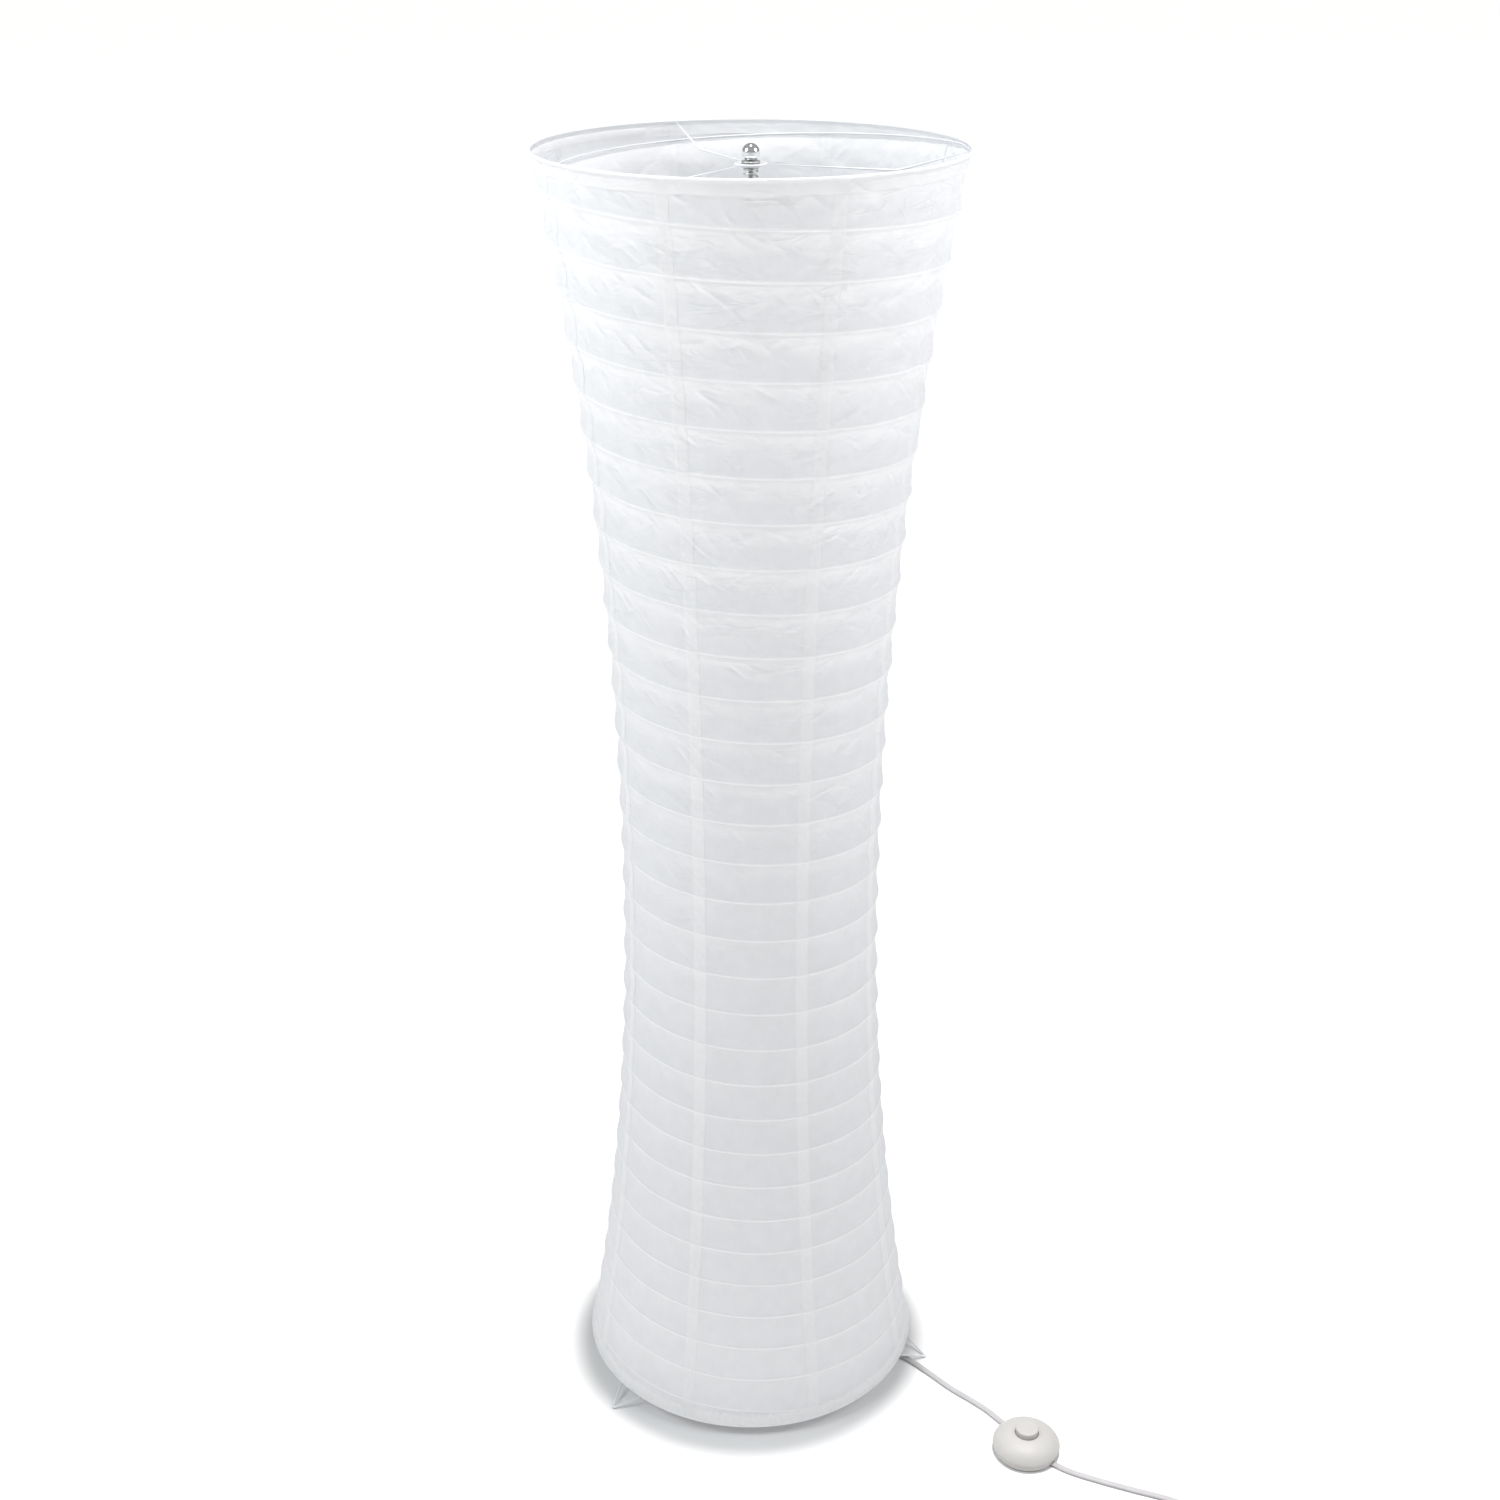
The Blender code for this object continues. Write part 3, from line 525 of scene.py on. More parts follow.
# ---------------------------------------------------------------- the shade's surface
def rib_height(turn):
    """Height of the spiral rib at each turn: it leaves the rim at the right and runs into the
    bottom ring at the front right."""
    turn = np.asarray(turn, float)
    even = RIB_FIRST_FRONT_Z - RIB_PITCH * (turn - 1.0)
    even = even + RIB_TIGHTENING * np.maximum(0.0, turn - RIB_TIGHTENS_AT) ** 2
    share = (turn - RIB_START) / (1.0 - RIB_START)
    first = RIM_Z + (RIB_FIRST_FRONT_Z - RIM_Z) * share
    last_front = RIB_FIRST_FRONT_Z - RIB_PITCH * 30 + RIB_TIGHTENING * (31 - RIB_TIGHTENS_AT) ** 2
    last = last_front + (RING_Z - last_front) * (turn - 31.0) / (RIB_END - 31.0)
    height = np.where(turn < 1.0, first, np.where(turn > 31.0, last, even))
    return np.clip(height, RING_Z, RIM_Z)


TURN_TABLE = np.linspace(RIB_START, RIB_END, 6000)
HEIGHT_TABLE = rib_height(TURN_TABLE)


def turn_at(z):
    """The turn at which the rib is at that height, whatever its azimuth."""
    return np.interp(-np.asarray(z, float), -HEIGHT_TABLE, TURN_TABLE)


def hourglass(z):
    above = np.clip((z - WAIST_Z) / (RIM_Z - WAIST_Z), 0.0, 1.0)
    below = np.clip((WAIST_Z - z) / (WAIST_Z - RING_Z), 0.0, 1.0)
    flare = (TOP_RADIUS - WAIST_RADIUS) * above**2.1
    return WAIST_RADIUS + flare + (BOTTOM_RADIUS - WAIST_RADIUS) * below**2


def lattice(ix, iy, seed):
    """A repeatable pseudo-random angle for each cell corner."""
    h = (ix * 374761393 + iy * 668265263 + seed * 974634777) & 0x7FFFFFFF
    h = ((h ^ (h >> 13)) * 1274126177) & 0x7FFFFFFF
    return (h ^ (h >> 16)) % 6283 / 1000.0


def gradient_noise(x, y, seed):
    ix, iy = np.floor(x).astype(np.int64), np.floor(y).astype(np.int64)
    fx, fy = x - ix, y - iy
    total = 0.0
    for dx in (0, 1):
        for dy in (0, 1):
            angle = lattice(ix + dx, iy + dy, seed)
            dot = np.cos(angle) * (fx - dx) + np.sin(angle) * (fy - dy)
            wx = fx if dx else 1 - fx
            wy = fy if dy else 1 - fy
            total = total + dot * (wx**3 * (wx * (wx * 6 - 15) + 10)) * (
                wy**3 * (wy * (wy * 6 - 15) + 10)
            )
    return total * 1.4


def noise_at(x, y, seed):
    return float(gradient_noise(np.array(x), np.array(y), seed))


def crinkled(z):
    """How crinkled the paper is: most near the top, hardly at all at the foot."""
    return 0.10 + 0.90 * np.clip((z - 0.25) / 0.85, 0.0, 1.0) ** 1.2


def draw_creases():
    """Every fold pressed into the shade: azimuth, height, slope, length, depth and width."""
    rng = np.random.default_rng(41)
    made = []
    for band in range(32):
        z = float(rib_height(band + 0.5)) if band else RIM_Z - 0.018
        for _ in range(int(20 + 150 * crinkled(z))):
            theta = rng.uniform(0.0, 2 * math.pi)
            slope = math.radians(rng.uniform(14.0, 48.0)) * rng.choice((-1.0, 1.0, -1.0))
            length = rng.uniform(0.007, 0.022)
            depth = rng.uniform(0.00035, 0.00125) * crinkled(z) * rng.choice((1.0, 1.0, -1.0))
            smoother = 0.35 if math.sin(theta) > 0.3 else 1.0
            width = rng.uniform(0.0012, 0.0023)
            height = z + rng.uniform(-0.020, 0.020)
            made.append((theta, height, slope, length, depth * smoother, width))
    return made


CREASES = draw_creases()


def crinkle(theta, z):
    """Dents of the paper between two ribs, on a grid of azimuths (columns) and heights."""
    arc = theta * TYPICAL_RADIUS
    back = np.where(np.sin(theta) > 0.3, 0.5, 1.0)
    swell = 0.00065 * gradient_noise(arc / 0.022, z / 0.013, 44)
    swell = swell + 0.00018 * gradient_noise(arc / 0.0075, z / 0.0060, 48)
    total = swell * crinkled(z) * back
    azimuths, row_high, row_low = theta[0], z.max(axis=1), z.min(axis=1)
    for azimuth, height, slope, length, depth, width in CREASES:
        turned = (azimuths - azimuth + math.pi) % (2 * math.pi) - math.pi
        radius = float(hourglass(np.array(height)))
        reach = (length + 3 * width) / radius + 0.02
        columns = np.nonzero(np.abs(turned) < reach)[0]
        tall = length * abs(math.sin(slope)) + 3 * width
        rows = np.nonzero((row_low < height + tall) & (row_high > height - tall))[0]
        if not len(columns) or not len(rows):
            continue
        block = slice(rows[0], rows[-1] + 1), slice(columns[0], columns[-1] + 1)
        x = ((theta[block] - azimuth + math.pi) % (2 * math.pi) - math.pi) * radius
        y = z[block] - height
        along = x * math.cos(slope) + y * math.sin(slope)
        off = y * math.cos(slope) - x * math.sin(slope) + 0.0012 * np.sin(along / length * 2.6)
        share = np.clip(1.0 - (along / length) ** 2, 0.0, 1.0)
        total[block] += depth * share * np.exp(-np.abs(off) / (width * (0.45 + 0.55 * share)))
    return total


def paper_radius(theta, z):
    """Radius of the paper at an azimuth and height: bulged over each rib, drawn in between."""
    tau = (np.degrees(theta) + 90.0) / 360.0
    turn = turn_at(z)
    above = np.floor(turn - tau + 1e-9) + tau
    top = np.where(above < RIB_START, RIM_Z, rib_height(above))
    low = rib_height(above + 1.0)
    band = np.maximum(top - low, 1e-5)
    v = np.clip((top - z) / band, 0.0, 1.0)
    full = np.minimum(1.0, band / FULL_BAND)
    deep = 0.0009 + 0.0019 * np.clip((z - 0.15) / 0.85, 0.0, 1.0)
    uneven = 1.0 + 0.35 * gradient_noise(theta * 2.2, above * 0.83, 71)
    sag = deep * uneven * full * np.sin(math.pi * v) ** 0.85 * (1.0 + 0.30 * np.cos(math.pi * v))
    near = np.minimum(z - low, top - z)
    ridge = 0.00045 * np.exp(-((near / 0.0010) ** 2))
    loose = np.clip(1.25 * np.sin(math.pi * v) ** 0.6, 0.0, 1.0) * full
    rim = RIM_WIRE * np.clip(1 - (RIM_Z - z) / 0.004, 0.0, 1.0) ** 2
    foot = RING_WIRE * np.clip(1 - (z - RING_Z) / 0.004, 0.0, 1.0) ** 2
    dents = crinkle(theta, z) * loose
    return hourglass(z) - sag + ridge + dents + rim + foot, near


ROWS_IN_BAND = (0.0, 0.015, 0.035, 0.06, *(0.09 + 0.0292 * i for i in range(30)), 0.96, 0.985)
GORE_COLUMNS = 116
SEAM_EDGE, SEAM_STEP, HEM_EDGE = 0.0008, 0.00022, 0.0012
FIRST_BAND, LAST_BAND = -2, 32


def make_gore(index):
    """One paper gore as a sheet, its rows following the spiral rib."""
    centre = FIRST_SEAM + 2 * math.pi * (index + 0.5) / GORES
    half = math.pi / GORES
    rows = [band + v for band in range(FIRST_BAND, LAST_BAND) for v in ROWS_IN_BAND]
    across = np.linspace(-1.0, 1.0, GORE_COLUMNS + 1)
    grid_theta = centre + across * (half + SEAM_HALF / TYPICAL_RADIUS)
    tau = (np.degrees(grid_theta) + 90.0) / 360.0
    turns = np.array(rows)[:, None] + tau[None, :]
    z = np.where(turns < RIB_START, RIM_Z, rib_height(turns))
    # near the waist the same overlap spans a wider angle
    span = half + SEAM_HALF / hourglass(z)
    theta = centre + across[None, :] * span
    radius, near = paper_radius(theta, z)
    from_seam = (half - np.abs(theta - centre)) * radius
    overlap = np.clip((SEAM_HALF - from_seam) / SEAM_EDGE, 0.0, 1.0)
    side = np.sign(across)[None, :]
    radius = radius + SEAM_STEP * overlap * side
    ragged = HEM_EDGE * gradient_noise(theta * 55.0, np.full_like(z, 0.5), 23)
    top_hem = np.clip((HEM + ragged - (RIM_Z - z)) / HEM_EDGE, 0.0, 1.0)
    foot_hem = np.clip((HEM + ragged - (z - RING_Z)) / HEM_EDGE, 0.0, 1.0)
    # a painted highlight: the paper along each rib is painted whiter and less translucent, as if
    # doubled, for the light rib lines
    rib_painted_highlight = np.clip(1.35 - near / 0.0009, 0.0, 1.0)
    paste = 1.0 + 0.5 * gradient_noise(theta * 60.0, z * 160.0, 29)
    layers_and_rib_highlight = np.maximum(0.42 * overlap * paste, 0.22 * top_hem)
    layers_and_rib_highlight = np.clip(np.maximum(np.maximum(layers_and_rib_highlight, 0.75 * foot_hem * paste), rib_painted_highlight), 0.0, 1.0)

    points = np.stack([radius * np.cos(theta), radius * np.sin(theta), z], axis=-1)
    columns = GORE_COLUMNS + 1
    faces = []
    for i in range(len(rows) - 1):
        for k in range(GORE_COLUMNS):
            a, b = i * columns + k, (i + 1) * columns + k
            if z[i, k] == z[i + 1, k] and z[i, k + 1] == z[i + 1, k + 1]:
                continue  # past the rim or the bottom ring, where the rows fall together
            faces.append((a, b, b + 1, a + 1))
    name = f"gore_{index + 1}"
    mesh = bpy.data.meshes.new(name)
    mesh.from_pydata(points.reshape(-1, 3).tolist(), [], faces)
    store_layers(mesh, layers_and_rib_highlight)
    bm = bmesh.new()
    bm.from_mesh(mesh)
    bmesh.ops.delete(bm, geom=[v for v in bm.verts if not v.link_faces], context="VERTS")
    bmesh.ops.remove_doubles(bm, verts=bm.verts, dist=2e-6)
    bmesh.ops.dissolve_degenerate(bm, edges=bm.edges, dist=1e-7)
    bm.to_mesh(mesh)
    bm.free()
    mesh.shade_smooth()
    return place_piece(name, mesh, PAPER, [f"paper_{name}"])


def folds_with_lift(piece):
    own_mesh(piece)


def make_shade():
    for index in range(GORES):
        gore = make_gore(index)
        folds_with_lift(gore)
    steps = 96
    turns = np.linspace(RIB_START, RIB_END, int((RIB_END - RIB_START) * steps))
    angle = 2 * math.pi * (turns - 0.25)
    z = np.clip(rib_height(turns), RING_Z + 0.0022, RIM_Z - 0.0022)
    radius = hourglass(z) - 0.0003 - RIB_WIRE
    path = np.stack([radius * np.cos(angle), radius * np.sin(angle), z], axis=1)
    rib = wire_piece(
        "rib_wire", path, RIB_WIRE, WIRE, ["rib_spiral_wire"], sides=8, ends=0.002
    )
    folds_with_lift(rib)


def make_hem(name, radius, wire, height, down):
    """Paper turned over a hoop's wire and glued down inside the shade. down is -1 at the rim,
    where it hangs below the wire, and +1 at the bottom ring."""
    steps, rows, gap = 360, 22, 0.0003
    points = []
    for k in range(steps):
        theta = 2 * math.pi * k / steps
        wander = 0.0007 * noise_at(theta * 9.0, 0.5, 90)
        wander += 0.0004 * noise_at(theta * 31.0, 0.5, 91)
        deep = HEM + wander
        for i in range(rows):
            t = i / (rows - 1)
            if t < 0.5:
                turn = math.pi * (t / 0.5)
                r = radius + (wire + gap) * math.cos(turn)
                z = height - down * (wire + gap) * math.sin(turn)
            else:
                run = deep * (t - 0.5) / 0.5
                z = height + down * run
                blend_in = min(1.0, run / 0.004)
                inside = float(hourglass(np.array(z))) - 0.0011
                inside += 0.00025 * noise_at(theta * 14.0, run * 160.0, 95)
                r = (radius - wire - gap) * (1 - blend_in) + inside * blend_in
            points.append((r * math.cos(theta), r * math.sin(theta), z))
    faces = []
    for k in range(steps):
        j = (k + 1) % steps
        for i in range(rows - 1):
            faces.append((k * rows + i, k * rows + i + 1, j * rows + i + 1, j * rows + i))
    mesh = mesh_from(name, points, faces, 60.0, outward=False)
    store_layers(mesh, [0.35] * len(points))
    return place_piece(name, mesh, PAPER)


def make_hoops():
    wire_piece(
        "rim_wire", ring_path(TOP_RADIUS, RIM_Z), RIM_WIRE, WIRE, ["top_ring"],
        closed=True,
    )
    wire_piece(
        "foot_wire", ring_path(BOTTOM_RADIUS, RING_Z), RING_WIRE, WIRE,
        ["bottom_ring"], body="bottom_hoop", closed=True,
    )
    make_hem("rim_hem", TOP_RADIUS, RIM_WIRE, RIM_Z, -1)
    # the foot's hem is glued to the gores, so it stays in the lamp body with them instead of riding
    # the ring
    folds_with_lift(make_hem("foot_hem", BOTTOM_RADIUS, RING_WIRE - 0.0002, RING_Z, 1))


# ---------------------------------------------------------------- spider and top fittings
ROD_HOLE = 0.0023  # radius of every hole that the threaded rod passes through
SPRING_RADIUS, SPRING_WIRE, SPRING_COILS = 0.0055, 0.0008, 8.0
SPRING_SHUT = 0.75  # turns at each end that lie nearly flat


def make_spider():
    web, roll = 0.0004, SPIDER_WIRE
    turns = np.linspace(math.radians(-156.0), math.radians(156.0), 20)
    eye = [(EYE_RADIUS + roll * math.cos(a), roll * math.sin(a)) for a in turns[::-1]]
    eye += [(0.0026, -web), (ROD_HOLE, 0.0), (0.0026, web)]
    lathe(
        "eye_plate", eye, WIRE, "white_wire", ["spider_eye"], centre=(0.0, 0.0, EYE_Z), soft=0.0,
        steps=96, sharp=60.0,
    )
    for side, azimuth in ARM_AZIMUTHS.items():
        corners = [
            (EYE_RADIUS, 0.0, EYE_Z), (ARM_KINK_RADIUS, 0.0, ARM_KINK_Z),
            (TOP_RADIUS - RIM_WIRE - 0.0004, 0.0, RIM_Z + 0.0004),
        ]
        path = bent_wire([polar(azimuth, *corner) for corner in corners], 0.006)
        wire_piece(
            f"arm_{side}", path, SPIDER_WIRE, WIRE, [f"spider_arm_{side}"], ends=0.001
        )


def make_top_fittings():
    low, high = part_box("lower_washer")
    washer = washer_profile(ROD_HOLE, high.x, low.z, high.z)
    lathe("spring_washer", washer, ZINC, "zinc", ["lower_washer"])
    low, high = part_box("upper_washer")
    washer = washer_profile(ROD_HOLE, high.x, low.z, high.z)
    lathe("ball_washer", washer, ZINC, "zinc", ["upper_washer"])
    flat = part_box("ball_nut")[0].z
    lowest = math.asin((flat - BALL_Z) / BALL_RADIUS)
    arc = np.linspace(math.pi / 2, lowest, 40)[1:]
    ball = [(0.0, BALL_Z + BALL_RADIUS)]
    ball += [(BALL_RADIUS * math.cos(a), BALL_Z + BALL_RADIUS * math.sin(a)) for a in arc]
    ball += [(ROD_HOLE, flat), (ROD_HOLE, BALL_Z + 0.001), (0.0, BALL_Z + 0.001)]
    lathe("ball", ball, CHROME, "chrome", ["ball_nut"], body="ball", soft=0.0, steps=96)

    low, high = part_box("threaded_rod")
    pitch, z, thread = 0.0007, low.z, [(0.0, low.z)]
    while z < high.z - pitch:
        thread += [(0.0020, z + 0.15 * pitch), (0.0017, z + 0.65 * pitch)]
        z += pitch
    thread += [(0.0016, high.z), (0.0, high.z)]
    lathe(
        "rod_thread", thread[::-1], ZINC, "zinc", ["threaded_rod"], soft=0.0, steps=24, sharp=20.0
    )

    wire, coils, shut = SPRING_WIRE, SPRING_COILS, SPRING_SHUT
    low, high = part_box("compression_spring")
    bottom, top = low.z + wire, high.z - wire
    turns = np.linspace(0.0, coils, int(coils * 48) + 1)
    free = np.clip((turns - shut) / (coils - 2 * shut), 0.0, 1.0)
    heights = bottom + 2 * wire * np.minimum(turns, shut) / shut * 0.6
    heights = heights + (top - bottom - 2.4 * wire) * free
    heights = heights + 1.2 * wire * np.clip((turns - coils + shut) / shut, 0.0, 1.0)
    angle = 2 * math.pi * turns
    x, y = SPRING_RADIUS * np.cos(angle), SPRING_RADIUS * np.sin(angle)
    path = np.stack([x, y, heights], axis=1)
    wire_piece("top_spring", path, wire, ZINC, ["compression_spring"])


# ---------------------------------------------------------------- pole and lampholders
def make_pole():
    for which in ("lower", "middle", "upper"):
        low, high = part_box(f"pole_{which}")
        profile = washer_profile(0.004, 0.005, low.z, high.z)
        lathe(f"tube_{which}", profile, POWDER, "white_steel", [f"pole_{which}"], steps=48)
    for which in ("lower", "upper"):
        low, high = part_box(f"coupler_{which}")
        z, h = low.z, high.z - low.z
        grooves = [(0.0075, z + h)]
        for k in range(6):
            at = z + h * (0.86 - 0.12 * k)
            grooves += [(0.0075, at), (0.0071, at - 0.0006), (0.0075, at - 0.0012)]
        grooves += [(0.0075, z), (0.0053, z), (0.0053, z + h)]
        lathe(f"sleeve_{which}", grooves, ZINC, "zinc", [f"coupler_{which}"], soft=0.0002, steps=48)
    low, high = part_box("pole_cap")
    cap = [
        (0.0054, high.z), (0.0068, high.z - 0.0014), (0.0068, low.z), (ROD_HOLE, low.z),
        (ROD_HOLE, high.z),
    ]
    lathe("spring_seat", cap, ZINC, "zinc", ["pole_cap"], steps=48)


def finish_cad(node, mat, bevel=0.0):
    """A CAD node that shows as it is, with its own finish and eased edges."""
    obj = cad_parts[node]
    obj.data.materials.clear()
    obj.data.materials.append(mat)
    obj.data.shade_smooth()
    obj.data.set_sharp_from_angle(angle=math.radians(30))
    if bevel:
        eased = obj.modifiers.new("eased", "BEVEL")
        eased.width, eased.segments, eased.limit_method = bevel, 3, "ANGLE"
        eased.angle_limit = math.radians(30)


def make_holder(which):
    low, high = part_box(f"lampholder_{which}")
    x, y = (low.x + high.x) / 2, (low.y + high.y) / 2
    z = low.z
    wall, floor, top = 0.0140, 0.018, high.z - low.z
    cup = [(0.0180, top), (0.0195, top - 0.0010)]
    for k in range(3):  # the thread that a shade ring would take
        at = top - 0.006 - 0.0028 * k
        cup += [(0.0195, at), (0.0189, at - 0.0008), (0.0195, at - 0.0016)]
    cup += [
        (0.0195, 0.0340), (0.0185, 0.0330), (0.0185, 0.0315), (0.0195, 0.0305), (0.0195, 0.0165),
        (0.0150, 0.0075), (0.0135, 0.0050), (0.0135, 0.0), (0.0, 0.0), (0.0, floor),
        (wall, floor), (wall, top),
    ]
    lathe(
        f"socket_{which}", cup, HOLDER, "holder_plastic", [f"lampholder_{which}"],
        centre=(x, y, z), soft=0.0004, steps=72,
    )

    body = f"{which}_bulb"
    low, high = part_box(f"bulb_{which}_cap")
    cap = [(0.0, 0.0), (0.0045, 0.0), (0.0055, 0.0020), (0.0110, 0.0045)]
    height, at = high.z - low.z, 0.0060
    while at < height - 0.0060:
        cap += [(0.0127, at), (0.0133, at + 0.0018)]
        at += 0.0036
    cap += [(0.0130, height - 0.004), (0.0130, height), (0.0, height)]
    lathe(
        f"screw_cap_{which}", cap, CAP, "bulb_cap", [f"bulb_{which}_cap"], body=body,
        centre=(x, y, low.z), soft=0.0006,
    )
    low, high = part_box(f"bulb_{which}_glass")
    radius, top = (high.x - low.x) / 2, high.z - low.z
    centre = top - radius
    globe = [(0.0, 0.0), (0.0131, 0.0), (0.0133, 0.0020), (0.0140, 0.0050)]
    start = math.asin((0.0115 - centre) / radius)
    arc = np.linspace(start, math.pi / 2, 36)
    globe += [(radius * math.cos(a), centre + radius * math.sin(a)) for a in arc[:-1]]
    globe += [(0.0, top)]
    lathe(
        f"globe_{which}", globe, OPAL, "bulb_glass", [f"bulb_{which}_glass"], body=body,
        centre=(x, y, low.z), soft=0.0, sharp=60.0,
    )
    finish_cad(f"bracket_{which}", POWDER, 0.0003)


def make_inner_wiring():
    side, middle = 73.2, 0.0125  # the free side of the pole, and how far from its axis
    feed, far = HOLDER_AZIMUTHS["lower"], HOLDER_AZIMUTHS["upper"]
    low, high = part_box("junction_box")
    top, disc_top = high.z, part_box("base_disc")[1].z
    routes = {
        "feed": [
            (feed, 0.0595, 0.0, disc_top), (feed, 0.0575, 0.002, 0.022),
            (feed, 0.042, 0.012, 0.037), (side, 0.022, -0.008, 0.052),
            (side, middle + 0.001, 0.0, 0.075), (side, middle, 0.0, low.z),
        ],
        "to_lower": [
            (side, middle, -0.005, top), (side, middle, -0.006, top + 0.030),
            (feed, 0.012, 0.009, top + 0.065), (feed, 0.014, 0.002, top + 0.110),
            (feed, 0.030, 0.0, 0.275), (feed, HOLDER_OFFSET, 0.0, 0.292),
            (feed, HOLDER_OFFSET, 0.0, 0.302),
        ],
        "to_upper": [
            (side, middle, 0.005, top), (side, middle, 0.006, top + 0.030),
            (far, 0.013, -0.008, top + 0.065), (far, 0.0128, 0.0, top + 0.110),
            (far, 0.0128, 0.0, 0.360), (far, 0.0115, 0.0, 0.520),
            (far, 0.0115, 0.0, 0.680), (far, 0.0170, 0.0, 0.725),
            (far, 0.0310, 0.0, 0.758), (far, HOLDER_OFFSET, 0.0, 0.772),
            (far, HOLDER_OFFSET, 0.0, 0.782),
        ],
    }
    for name, route in routes.items():
        path = smooth_route([polar(*stop) for stop in route], 0.004)
        wire_piece(f"lead_{name}", path, 0.0026, CORD, [f"inner_cord_{name}"])
    finish_cad("junction_box", HOLDER, 0.0008)


# ---------------------------------------------------------------- base
def make_base():
    low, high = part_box("base_disc")
    r, top = (high.x - low.x) / 2, high.z
    disc = [
        (0.0, top), (r - 0.0008, top), (r, top - 0.0014), (r, 0.0014), (r - 0.0008, 0.0),
        (0.0, 0.0),
    ]
    lathe("weight_disc", disc, POWDER, "white_steel", ["base_disc"], soft=0.0006, steps=128)
    low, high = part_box("clamp_plate")
    plate = washer_profile(0.0053, (high.x - low.x) / 2, low.z, high.z)
    lathe("leg_clamp", plate, POWDER, "white_steel", ["clamp_plate"], soft=0.0005, steps=96)
    low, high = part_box("base_nut")
    nut = [
        (0.0080, high.z), (0.0090, high.z - 0.0008), (0.0090, low.z + 0.0008), (0.0080, low.z),
        (0.0053, low.z), (0.0053, high.z),
    ]
    lathe(
        "hex_nut", nut, ZINC, "zinc", ["base_nut"], soft=0.0002, steps=72, hexed=0.007, sharp=25.0
    )
    for name, azimuth in LEG_AZIMUTHS.items():
        knee = BOTTOM_RADIUS + 0.0015
        corners = [
            (LEG_INNER, -LEG_HALF_GAP, LEG_Z), (knee, -LEG_HALF_GAP, LEG_Z),
            (TOE_RADIUS, 0.0, LEG_WIRE + 0.0001),
            (knee, LEG_HALF_GAP, LEG_Z), (LEG_INNER, LEG_HALF_GAP, LEG_Z),
        ]
        path = bent_wire([polar(azimuth, *corner) for corner in corners], 0.0035)
        wire_piece(f"wire_{name}", path, LEG_WIRE, WIRE, [name])


# ---------------------------------------------------------------- mains cord
GLAND_END, BOOT_END = 0.0660, 0.0880
BOOT_RADIUS, BOOT_TAPER, BOOT_RIB = 0.00355, 0.0009, 0.0004
GROOVE_OPENING = math.acos(0.45) * 0.55  # how far each core's outline runs into the groove


def twin_section():
    """A flat twin cord's outline: two round cores side by side with a shallow groove."""
    lobe = CORD_THICKNESS / 2
    offset = CORD_WIDTH / 2 - lobe
    reach = math.pi / 2 + GROOVE_OPENING
    outline = []
    for sign in (1, -1):
        for a in np.linspace(-reach, reach, 13):
            across = offset + lobe * math.cos(a)
            outline.append((sign * across, sign * lobe * math.sin(a)))
    return outline


def cord_route():
    """The whole cord: boot, floor, through the switch, floor, coil, plug."""
    x, y = SWITCH_CENTRE
    reach = SWITCH_RADIUS + 0.0006
    start = polar(LEG_AZIMUTHS["leg_right"], BOOT_END - 0.004)[:2]
    near = [
        (0.1100, -0.0335), (0.1350, -0.0425), (0.1575, -0.0560), (0.1785, -0.0765),
        (0.2011, -0.1013), (0.2200, -0.1185), (0.2345, -0.1325), (0.2475, -0.1490),
    ]
    into = (x + reach * math.cos(SWITCH_IN), y + reach * math.sin(SWITCH_IN))
    out = (x + reach * math.cos(SWITCH_OUT), y + reach * math.sin(SWITCH_OUT))
    far = [
        (0.3085, -0.2168), (0.3327, -0.2274), (0.3631, -0.2392), (0.3931, -0.2501),
        (0.4220, -0.2650),
    ]
    on_floor = (start, *near, into, (x, y), out, *far, (0.4475, -0.2848))
    laid = [(*p, CORD_Z) for p in on_floor]

    entry, leave = math.radians(52.0), math.radians(-90.0)
    total = 6 + (entry - leave) / (2 * math.pi)
    outer, middle, inner = COIL_LANES
    lanes = [outer, middle, inner, inner, middle, outer, outer]
    first, second, third = COIL_LAYERS
    heights = [first, first, first, second, second, second, third]
    coil = []
    per_turn = 40
    for i in range(int(total * per_turn) + 1):
        turn = i / per_turn
        lap = min(int(turn), 6)
        part = turn - lap
        change = min(1.0, max(0.0, (part - 0.80) / 0.20))
        change = change * change * (3 - 2 * change)
        after = min(lap + 1, 6)
        r = lanes[lap] + (lanes[after] - lanes[lap]) * change
        z = heights[lap] + (heights[after] - heights[lap]) * change
        a = entry - 2 * math.pi * turn
        coil.append((COIL_CENTRE[0] + r * math.cos(a), COIL_CENTRE[1] + r * math.sin(a), z))
    plug_x, plug_y = PLUG_BACK
    tail = [
        (COIL_CENTRE[0] - 0.0200, plug_y, third - 0.0012),
        (COIL_CENTRE[0] - 0.0400, plug_y, 0.0074),
        (plug_x - 0.0010, plug_y, 0.0068),
    ]
    return smooth_route(laid + coil + tail, 0.0026)


